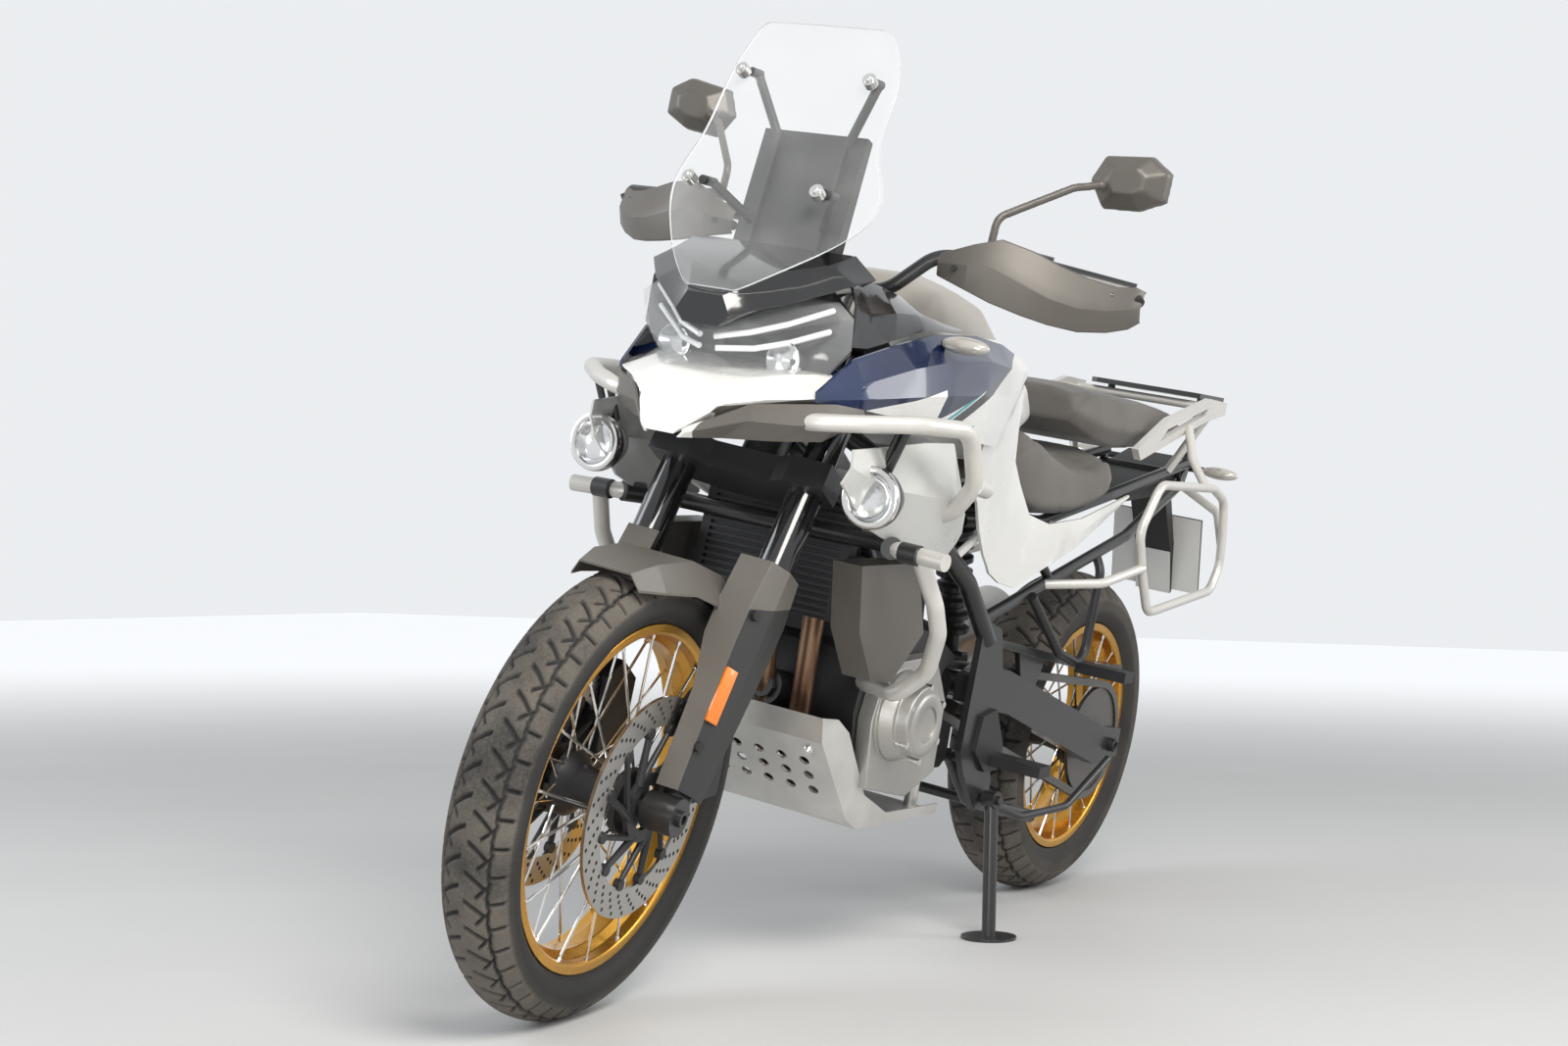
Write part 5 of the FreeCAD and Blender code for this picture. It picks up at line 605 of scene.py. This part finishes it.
# Frame, swingarm, stands and pegs: welded steel tube and plate in satin black enamel, and cast
# pegs. The side stand carries the parked machine, the centre stand is folded up.
refined("main_frame", satin_black, "frame_black", 0.0012)
refined("subframe", satin_black, "frame_black", 0.0012)
refined("swingarm", satin_black, "frame_black", 0.004, segments=3)
refined("shock_absorber", satin_black, "dark_metal", 0.0008)
refined("side_stand", satin_black, "frame_black", 0.0015)
refined("centre_stand", satin_black, "frame_black", 0.0015)
refined("footpegs", black_cast, "dark_metal", 0.001)

# Engine: a black crankcase and cylinder block with grey cast covers on both sides, bolted on
# round their edges, and a black oil filter screwed into its front. The skid plate's two bolts are
# of the same steel as those of the covers, and one piece with them.
cast_alloy = even("bead_blasted_alloy", (0.42, 0.41, 0.385), 0.42, 0.85, grain=1000.0)
refined("engine", black_cast, "dark_metal", 0.004, segments=3)
refined("engine_covers", cast_alloy, "alloy", 0.003, segments=3)
fittings, filter_can = bmesh.new(), bmesh.new()
for side in (-1, 1):
    bolt(fittings, (1.1235, side * 0.099, 0.3815), (0.75, 0, -0.66), 0.010, 0.005)
rod(filter_can, (1.022, -0.025, 0.442), (1.078, -0.025, 0.454), 0.033, 40, 0.031)
rod(filter_can, (1.072, -0.025, 0.4526), (1.086, -0.025, 0.4556), 0.022, 8, 0.020)
COVER_BOLTS, BOLT_RING = 6, 0.0605
centre = Vector((0.9213, 0, 0.4292))
cover_ring = spun([(0.030, 0.1895), (0.030, 0.1925), (0.033, 0.1935), (0.046, 0.1935),
                   (0.050, 0.192), (0.052, 0.1895)], centre)
for number in range(COVER_BOLTS):
    turn = math.tau * (number + 0.5) / COVER_BOLTS
    spot = centre + Vector((math.cos(turn) * BOLT_RING, 0.170, math.sin(turn) * BOLT_RING))
    rod(fittings, spot, spot + Vector((0, 0.020, 0)), 0.0055, 12)
settle("engine_cover_ring", cover_ring, "chassis", cast_alloy, "alloy", flat=35)
settle("engine_bolts", fittings, "chassis", bright_steel, "alloy", flat=40)
settle("oil_filter", filter_can, "chassis", satin_black, "dark_metal", flat=40)

# Exhaust: bent steel headers, tinted brown by their heat, that run below the engine into a
# welded silencer of satin steel on the right.
SILENCER_BEHIND = 0.42
header_steel = Finish("heat_tinted_steel", Metallic=0.95)
tint_cloud = header_steel.noise(14.0, 5.0)
header_steel.set("Base Color", header_steel.mix(header_steel.ramp(tint_cloud, 0.3, 0.7),
                                                (0.17, 0.095, 0.06), (0.30, 0.19, 0.12)))
header_steel.set("Roughness", 0.3 + tint_cloud * 0.15)
header_steel.bump(header_steel.noise(500.0, 2.0), 0.0001, 0.5)
silencer_steel = even("satin_silencer_steel", (0.42, 0.41, 0.39), 0.34, 0.9, grain=500.0)


def refined_in_parts(node, finishes, slot, bevel, second):
    """A refined copy with two finishes: faces for which second is true take the other one."""
    made = refined(node, finishes[0], slot, bevel)
    made.data.materials.append(finishes[1].material)
    back = HOLDERS[body_of(nodes[node])[0]].inverted()
    turn = back.to_3x3()
    for face in made.data.polygons:
        face.material_index = int(second(back @ face.center, turn @ face.normal))


refined_in_parts("exhaust", [header_steel, silencer_steel], "pipe", 0.001,
                 lambda at, out: at.x < SILENCER_BEHIND)

# Skid plate: a pressed and drilled alloy sheet below the engine, brushed and left bare, bolted on
# at its front corners.
plate_alloy = even("brushed_plate_alloy", (0.62, 0.61, 0.58), 0.38, 0.7, grain=500.0)
refined("skid_plate", plate_alloy, "alloy", 0.0008)

# Radiator and its side covers: a black finned core, with a dark moulded shroud on each side and
# pale smoked deflectors above them, beside the fork.
DEFLECTOR_ABOVE, DEFLECTOR_OUTSIDE = 0.71, 0.232
pale_sheet = even("pale_smoked_sheet", (0.55, 0.55, 0.53), 0.3, 0.1, 0.6, vary=0.03)
refined("radiator", black_cast, "dark_metal", 0.0006)
refined_in_parts("radiator_shrouds", [taupe, pale_sheet], "titan_grey", 0.003,
                 lambda at, out: at.z > DEFLECTOR_ABOVE or abs(at.y) > DEFLECTOR_OUTSIDE)

# Crash bars and luggage tubes: bent steel tube in silver enamel. A black tube with its clamps
# ties both bars across the front of the radiator, and the rear rack is black as well.
silver = even("silver_enamel", (0.60, 0.585, 0.55), 0.36, 0.3, 0.25, vary=0.03)
refined("crash_bars", silver, "silver_tube", 0.001)
refined("grab_rails", silver, "silver_tube", 0.003, segments=3)
refined("pannier_racks", silver, "silver_tube", 0.001)
refined("rear_rack", satin_black, "frame_black", 0.0015)
ties = bmesh.new()
rod(ties, (1.177, -0.212, 0.7225), (1.177, 0.212, 0.7225), 0.0122, 24)
for side in (-1, 1):
    rod(ties, (1.205, side * 0.226, 0.723), (1.236, side * 0.243, 0.7235), 0.0165, 24)
    rod(ties, (1.2405, side * 0.262, 0.7224), (1.2412, side * 0.292, 0.7217), 0.0155, 24)
settle("crash_bar_tie", ties, "chassis", satin_black, "frame_black", flat=40)

# Tail: a black moulded fender on the subframe, with a blank pale number plate on its arm and a
# red lamp at its end.
PLATE_BELOW, PLATE_BEHIND = 0.775, -0.37
blank_plate = even("blank_number_plate", (0.60, 0.60, 0.58), 0.35, 0.0, 0.3, vary=0.03)
refined_in_parts("tail_unit", [black_plastic, blank_plate], "black_plastic", 0.0015,
                 lambda at, out: abs(out.x) > 0.9 and 0.2 < abs(out.z) < 0.42
                 and at.z < PLATE_BELOW and at.x < PLATE_BEHIND)
red_lens = even("red_tail_lens", (0.45, 0.012, 0.012), 0.14, 0.0, 0.9, vary=0.05)
tail_lamp = bmesh.new()
slab(tail_lamp, (-0.3315, 0, 0.876), (0, 1, 0), (-1, 0, 0.1), 0.105, 0.026, 0.009, 0.002)
settle("tail_lamp_lens", tail_lamp, "chassis", red_lens, None, flat=40)

# Nose and side covers: white painted mouldings under a clear coat. The nose turns taupe and
# matt on its flanks, below a line that climbs to the rear.
white_paint = even("white_paint", (0.78, 0.775, 0.745), 0.26, 0.0, 0.8, vary=0.015)
nose_paint = Finish("white_beak_grey_flanks", Coat_Roughness=0.06)
_, nose_y, nose_z = upright(nose_paint)
aside = nose_y.size()
BEAK_HALF = 0.03
steep_line = (aside - 0.045) * 1.9 + 0.850
shallow_line = (aside - 0.075) * 0.31 + 0.892
grey_flank = (steep_line.least(shallow_line) > nose_z) * (aside > BEAK_HALF)
nose_cloud = nose_paint.noise(6.0, 4.0)
nose_paint.set("Base Color", nose_paint.mix(grey_flank, (0.78, 0.775, 0.745),
                                            (0.118, 0.108, 0.095)))
nose_paint.set("Roughness", 0.25 + grey_flank * 0.2 + nose_cloud * 0.04)
nose_paint.set("Coat Weight", 0.8 - grey_flank * 0.75)
nose_paint.bump(nose_paint.noise(1400.0, 2.0), 0.00008, 0.4)
refined("nose_fairing", nose_paint, "white", 0.003, segments=3)
refined("side_covers", white_paint, "white", 0.002)

# Blue side fairings: painted mouldings with a lifted blue wedge, white flashes, and thin teal
# and black lines at the rear tip, under a clear coat.
FAIRING_FRONT, WEDGE_END = 1.33, 1.15
BLACK_HALF, TEAL_HALF = 0.010, 0.0035
graphic = Finish("painted_wedge", Coat_Weight=0.9, Coat_Roughness=0.05)
spot_x, _, spot_z = upright(graphic)
cloud = graphic.noise(5.0, 3.0)
# The height over the panel's keel, which climbs gently to the rear
height = spot_z - (0.905 + (FAIRING_FRONT - spot_x) * 0.02)
navy = graphic.mix(graphic.ramp(cloud, 0.3, 0.7), (0.004, 0.011, 0.046), (0.006, 0.018, 0.07))
back = WEDGE_END - spot_x
flash = ((back + 0.175) * 0.28 + 0.913 > spot_z) * (back < 0) * (height > 0)
tail = (back * 0.40 + 0.915 > spot_z) * (back > 0.012)
black_band = (spot_z - (0.884 + back * 0.55)).size() < BLACK_HALF
teal_band = (spot_z - (0.900 + back * 0.55)).size() < TEAL_HALF
teal_edge = (height > -0.004) * (height < 0.003) * (spot_x > 1.02)
colour = graphic.mix(flash.most(tail), navy, (0.76, 0.755, 0.73))
colour = graphic.mix(black_band * tail, colour, (0.015, 0.015, 0.016))
colour = graphic.mix(teal_band * tail, colour, (0.02, 0.33, 0.36))
colour = graphic.mix(teal_edge, colour, (0.03, 0.42, 0.5))
colour = graphic.mix(height < -0.004, colour, (0.74, 0.735, 0.71))
graphic.set("Base Color", colour)
graphic.set("Roughness", 0.24 + cloud * 0.08)
graphic.bump(graphic.noise(700.0, 2.0), 0.00005, 0.4)
refined("side_fairings", graphic, "navy", 0.003, segments=3)

# Tank: a pressed steel shell, painted beige grey and matt on top between the rider's knees, and
# white below a seam that is almost level.
SEAM_HEIGHT, SEAM_BLUR = 1.052, 0.0006
tank_paint = Finish("two_tone_tank", Coat_Weight=0.35, Coat_Roughness=0.2)
tank_x, _, tank_z = upright(tank_paint)
tank_cloud = tank_paint.noise(6.0, 4.0)
over_seam = tank_z - SEAM_HEIGHT + (tank_x - 0.8) * 0.02
top_share = tank_paint.ramp(over_seam, -SEAM_BLUR, SEAM_BLUR)
tank_paint.set("Base Color", tank_paint.mix(top_share, (0.77, 0.765, 0.74), (0.36, 0.335, 0.30)))
tank_paint.set("Roughness", 0.26 + top_share * 0.22 + tank_cloud * 0.05)
tank_paint.bump(tank_paint.noise(900.0, 2.0), 0.0001, 0.4)


def moulded(node, finish, slot, voxel, rounds, shape=None, name=None):
    """A CAD node's form with all its edges softened, as a moulding or a padded piece has them."""
    source = nodes[node]
    body = body_of(source)[0]
    block = bpy.data.meshes.new(f"{node}_block")
    form = bmesh.new()
    form.from_mesh(source.data)
    bmesh.ops.remove_doubles(form, verts=form.verts, dist=WELD)
    form.to_mesh(block)
    form.free()
    draft = bpy.data.objects.new(f"{node}_draft", block)
    scene.collection.objects.link(draft)
    grain = draft.modifiers.new("grain", "REMESH")
    grain.mode, grain.voxel_size = "VOXEL", voxel
    bpy.context.view_layer.update()
    shaped = draft.evaluated_get(bpy.context.evaluated_depsgraph_get())
    form = bmesh.new()
    form.from_mesh(shaped.to_mesh())
    bpy.data.objects.remove(draft)
    bmesh.ops.transform(form, matrix=HOLDERS[body].inverted(), verts=form.verts)
    for _ in range(rounds):
        bmesh.ops.smooth_vert(form, verts=form.verts, factor=0.5, use_axis_x=True,
                              use_axis_y=True, use_axis_z=True)
    if shape:
        form.normal_update()
        for vertex in form.verts:
            vertex.co += vertex.normal * shape(vertex.co, vertex.normal)
    return settle(name or f"{node}_moulded", form, body, finish, slot, node)


moulded("fuel_tank", tank_paint, "white", 0.006, 8)

# Seats: two foam cushions under tight dark grey vinyl with a pore grain. They swell a little in
# the middle and have a pressed seam line along each flank.
SWELL, SWELL_HALF = 0.004, 0.14
SEAM_DEPTH, SEAM_HALF = 0.0042, 0.0045
vinyl = Finish("grained_seat_vinyl", Specular_IOR_Level=0.4, Sheen_Weight=0.15)
vinyl_cloud = vinyl.noise(8.0, 5.0)
pores = vinyl.node("ShaderNodeTexVoronoi", {"feature": "DISTANCE_TO_EDGE"},
                   {"Vector": vinyl.place(), "Scale": 420.0}, out="Distance")
vinyl.set("Base Color", vinyl.mix(vinyl.ramp(vinyl_cloud, 0.25, 0.75), (0.088, 0.08, 0.07),
                                  (0.118, 0.108, 0.096)))
vinyl.set("Roughness", 0.55 + vinyl_cloud * 0.15)
vinyl.bump(pores, 0.0006, 0.6)


def seat_shape(seam):
    """Foam that swells between the seams, and a pressed seam line along each flank."""
    def shape(at, out):
        swell = SWELL * max(0.0, out.z) * (1 - min(1, abs(at.y) / SWELL_HALF) ** 2)
        line = abs(abs(at.y) - seam)
        pressed = SEAM_DEPTH * math.exp(-(line / SEAM_HALF) ** 2) if out.z > 0.25 else 0
        return swell - pressed
    return shape


for seat, seam in (("rider_seat", 0.118), ("passenger_seat", 0.098)):
    cushion = moulded(seat, vinyl, "seat", 0.0055, 6, seat_shape(seam), f"{seat}_cushion")

# Windscreen: one sheet of clear moulded polycarbonate whose rim is painted pale as a painted
# highlight, bent back at its shoulders and held by two screws on each side. Its rows give x, z,
# half width and sweep.
SCREEN_ROWS = [
    (1.457, 1.051, 0.045, 0.005), (1.430, 1.090, 0.095, 0.012), (1.396, 1.130, 0.140, 0.025),
    (1.375, 1.172, 0.175, 0.040), (1.360, 1.220, 0.185, 0.045), (1.340, 1.280, 0.144, 0.030),
    (1.300, 1.360, 0.150, 0.025), (1.270, 1.420, 0.135, 0.015), (1.258, 1.460, 0.110, 0.005),
]
SHEET_THICKNESS, ACROSS = 0.0036, [step / 7 for step in range(-7, 8)]
clear_sheet = Finish("clear_polycarbonate", IOR=1.5, Specular_IOR_Level=0.8)
edge_light = clear_sheet.node("ShaderNodeLayerWeight", None, {"Blend": 0.32}, out="Facing")
smear = clear_sheet.noise(9.0, 5.0)
clear_sheet.set("Alpha", 0.045 + edge_light * edge_light * 0.5
                + clear_sheet.ramp(smear, 0.45, 0.9) * 0.05)
clear_sheet.set("Base Color", clear_sheet.mix(smear, (0.80, 0.83, 0.84), (0.92, 0.93, 0.93)))
clear_sheet.set("Roughness", 0.04 + smear * 0.05)


def lofted(rows):
    """A sheet through rows of points, each row one run of edges, bridged to the next."""
    form = bmesh.new()
    runs = []
    for row in rows:
        line = [form.verts.new(Vector(point)) for point in row]
        runs.append([form.edges.new((a, b)) for a, b in zip(line, line[1:])])
    for first, second in zip(runs, runs[1:]):
        bmesh.ops.bridge_loops(form, edges=first + second)
    bmesh.ops.recalc_face_normals(form, faces=form.faces)
    return form


screen_lines = []
for x, z, half, sweep in SCREEN_ROWS:
    screen_lines.append([(x - 0.002 - sweep * abs(share) ** 2.2, half * share, z)
                         for share in ACROSS])
screen = settle("clear_windscreen", lofted(screen_lines), "chassis", clear_sheet, "clear",
                "windscreen")
rounding = screen.modifiers.new("rounding", "SUBSURF")
rounding.levels = rounding.render_levels = 2
thickness = screen.modifiers.new("thickness", "SOLIDIFY")
thickness.thickness, thickness.offset = SHEET_THICKNESS, 0.0
thickness.material_offset_rim = 1
# The rim that the thickness makes is painted pale and opaque: a painted highlight for the light
# its edge catches.
painted_edge_highlight = even("sheet_rim_painted_highlight", (0.86, 0.9, 0.91), 0.12, 0.0, 0.8, vary=0.03)
screen.data.materials.append(painted_edge_highlight.material)
screws = bmesh.new()
for side in (-1, 1):
    for x, z in ((1.2935, 1.381), (1.3865, 1.207)):
        spot, lean = Vector((x, side * 0.110, z)), Vector((0.9, side * 0.1, 0.44))
        rod(screws, spot - lean * 0.010, spot + lean * 0.003, 0.0105, 24)
        bolt(screws, spot + lean * 0.003, lean, 0.0075, 0.004)
settle("screen_screws", screws, "chassis", bright_steel, "alloy", flat=40)

# Cowl and headlamp: glossy black mouldings, and a clear cover over a bright housing, with two
# bent white light guides on each side that meet in a V, and a bowl with a glass projector.
LAMP_TOP = 0.995
refined("cowl", gloss_black, "black_plastic", 0.002)
lamp_bright = even("bright_lamp_housing", (0.50, 0.51, 0.52), 0.24, 0.85, vary=0.04)
refined_in_parts("headlamp", [gloss_black, lamp_bright], "black_plastic", 0.002,
                 lambda at, out: out.x > 0.25 and at.z < LAMP_TOP)
clear_cover = Finish("clear_lamp_cover", IOR=1.5, Specular_IOR_Level=0.7, Coat_Weight=0.6)
cover_edge = clear_cover.node("ShaderNodeLayerWeight", None, {"Blend": 0.4}, out="Facing")
cover_grime = clear_cover.noise(16.0, 4.0)
clear_cover.set("Alpha", 0.07 + cover_edge * 0.35)
clear_cover.set("Base Color", clear_cover.mix(cover_grime, (0.78, 0.80, 0.81), (0.88, 0.9, 0.9)))
clear_cover.set("Roughness", 0.03 + cover_grime * 0.04)
refined("headlamp_lens", clear_cover, "clear", 0.004, segments=3)
light_guide = even("frosted_light_guide", (0.86, 0.87, 0.88), 0.22, 0.0, 0.6, vary=0.02)
mirror_bowl = even("bright_reflector", (0.80, 0.81, 0.82), 0.12, 1.0, vary=0.02)
GUIDE_LINES = (((1.437, 0.012, 0.984), (1.418, 0.060, 0.998), (1.386, 0.100, 1.018),
                (1.356, 0.150, 1.046)),
               ((1.432, 0.014, 0.968), (1.405, 0.062, 0.976), (1.376, 0.100, 0.992),
                (1.350, 0.146, 1.016)))
guides = bmesh.new()
for side in (-1, 1):
    for line in GUIDE_LINES:
        points = [Vector((x, y * side, z)) for x, y, z in line]
        for start, end in zip(points, points[1:]):
            rod(guides, start, end, 0.0045, 10)
            bmesh.ops.create_uvsphere(guides, u_segments=10, v_segments=8, radius=0.0046,
                                      matrix=Matrix.Translation(end))
settle("headlamp_light_guides", guides, "chassis", light_guide, "clear", flat=50)


def turned(line, centre):
    """Spin a line of (radius, forward) points round an axis that runs ahead."""
    return spun(line, centre, axis=(1, 0, 0), steps=48)


def join(forms):
    """Put several forms into one."""
    whole = bmesh.new()
    for form in forms:
        step = bpy.data.meshes.new("step")
        form.to_mesh(step)
        form.free()
        whole.from_mesh(step)
        bpy.data.meshes.remove(step)
    return whole


bowls, glasses = [], []
for side in (-1, 1):
    middle = Vector((1.3745, side * 0.095, 0.966))
    bowls.append(turned([(0.006, -0.028), (0.018, -0.024), (0.026, -0.006), (0.028, 0.004),
                         (0.0265, 0.005), (0.024, -0.004), (0.016, -0.020), (0.005, -0.024)],
                        middle))
    glasses.append(turned([(0.0, 0.001), (0.008, -0.001), (0.014, -0.006), (0.0165, -0.013),
                           (0.013, -0.019), (0.0, -0.021)], middle))
settle("headlamp_bowls", join(bowls), "chassis", mirror_bowl, "clear", flat=40)
settle("headlamp_projectors", join(glasses), "chassis", clear_cover, "clear", flat=40)

# Fog lamps: turned black cans on short stays at the crash bars, each with a bright ring, a
# polished bowl and a domed clear glass.
cans, rings, dishes, covers = [], [], [], []
for side in (-1, 1):
    middle = Vector((1.331, side * 0.244, 0.796))
    cans.append(turned([(0.0, -0.054), (0.024, -0.054), (0.030, -0.05), (0.042, -0.024),
                        (0.0448, -0.014), (0.0448, -0.002), (0.041, -0.001), (0.0365, -0.012),
                        (0.0, -0.03)], middle))
    rings.append(turned([(0.0345, -0.006), (0.0355, 0.0005), (0.040, 0.002), (0.0440, 0.0005),
                         (0.0452, -0.004), (0.0452, -0.009), (0.0440, -0.009)], middle))
    dishes.append(turned([(0.0345, -0.004), (0.030, -0.012), (0.020, -0.019), (0.010, -0.0215),
                          (0.0, -0.0215)], middle))
    covers.append(turned([(0.0, 0.0022), (0.015, 0.0018), (0.028, 0.0002), (0.0355, -0.0025)],
                         middle))
    stays = bmesh.new()
    rod(stays, (1.300, side * 0.250, 0.835), (1.308, side * 0.276, 0.899), 0.006)
    rod(stays, (1.292, side * 0.236, 0.832), (1.300, side * 0.262, 0.902), 0.006)
    rod(stays, (1.296, side * 0.244, 0.828), (1.296, side * 0.244, 0.812), 0.012, 16)
    cans.append(stays)
settle("fog_lamp_cans", join(cans), "chassis", satin_black, "black_plastic", "fog_lamps", flat=35)
settle("fog_lamp_rings", join(rings), "chassis", bright_steel, "clear", flat=40)
settle("fog_lamp_dishes", join(dishes), "chassis", mirror_bowl, "clear", flat=40)
settle("fog_lamp_glasses", join(covers), "chassis", clear_cover, "clear", flat=40)

# Instruments: a panel of grained black plastic on its stay, behind the windscreen. The side with
# its display is turned to the rider.
refined("instrument_panel", black_plastic, "black_plastic", 0.002)

# Hand guards: shells of matt taupe plastic with a crease along the middle and a turned-up tip,
# over black mounts that screw them to the bar at its end and beside the lever. Each row gives y,
# then x and z at the top, the crease and the foot.
GUARD_WALL, GUARD_EDGE = 0.0045, 0.0018
GUARD_ROWS = ((0.176, ((1.148, 1.170), (1.154, 1.155), (1.148, 1.137))),
              (0.225, ((1.149, 1.192), (1.158, 1.160), (1.150, 1.124))),
              (0.263, ((1.140, 1.207), (1.153, 1.163), (1.142, 1.113))),
              (0.310, ((1.122, 1.199), (1.138, 1.148), (1.126, 1.104))),
              (0.347, ((1.103, 1.187), (1.121, 1.136), (1.108, 1.099))),
              (0.385, ((1.078, 1.178), (1.097, 1.131), (1.080, 1.098))),
              (0.420, ((1.050, 1.174), (1.068, 1.136), (1.050, 1.106))),
              (0.445, ((1.027, 1.180), (1.040, 1.145), (1.026, 1.118))),
              (0.4565, ((1.012, 1.176), (1.020, 1.150), (1.010, 1.132))))
guard_forms, lip_forms = [], []
for side in (-1, 1):
    lines = []
    for y, ((top_x, top_z), (mid_x, mid_z), (low_x, low_z)) in GUARD_ROWS:
        lines.append([(top_x - 0.006, y * side, top_z + 0.001), (top_x, y * side, top_z),
                      ((top_x * 0.35 + mid_x * 0.65), y * side, top_z * 0.35 + mid_z * 0.65),
                      (mid_x, y * side, mid_z), (low_x, y * side, low_z),
                      (low_x - 0.006, y * side, low_z - 0.001)])
    guard_forms.append(lofted(lines))
    lips = bmesh.new()
    rod(lips, (1.010, side * 0.437, 1.171), (1.022, side * 0.452, 1.158), 0.010, 16)
    rod(lips, (1.118, side * 0.19, 1.150), (1.146, side * 0.19, 1.153), 0.008, 12)
    rod(lips, (1.150, side * 0.205, 1.152), (1.159, side * 0.205, 1.152), 0.0045, 12)
    lip_forms.append(lips)
guards = settle("hand_guard_shells", join(guard_forms), "steering", taupe, "titan_grey",
                "hand_guards", flat=38)
wall = guards.modifiers.new("wall", "SOLIDIFY")
wall.thickness, wall.offset = GUARD_WALL, -1.0
soft = guards.modifiers.new("soft_edges", "BEVEL")
soft.width, soft.segments, soft.limit_method = GUARD_EDGE, 2, "ANGLE"
settle("hand_guard_mounts", join(lip_forms), "steering", black_plastic, "black_plastic", flat=40)

# Mirrors: rounded taupe shells on thin stems that are screwed into the bar's clamps. Shell and
# stem have one finish, and the glass is turned to the rider.
moulded("mirrors", taupe, "titan_grey", 0.0032, 3)

# Indicators: small pale lenses on short black stalks, one pair beside the cowl and one behind the
# seats.
FRONT_STALK, REAR_STALK = 0.22, 0.115
pale_lamp = even("pale_indicator_lens", (0.55, 0.52, 0.47), 0.10, 0.3, 0.9)
refined_in_parts("indicators", [pale_lamp, black_plastic], "amber", 0.001,
                 lambda at, out: abs(at.y) < (FRONT_STALK if at.x > 0 else REAR_STALK))
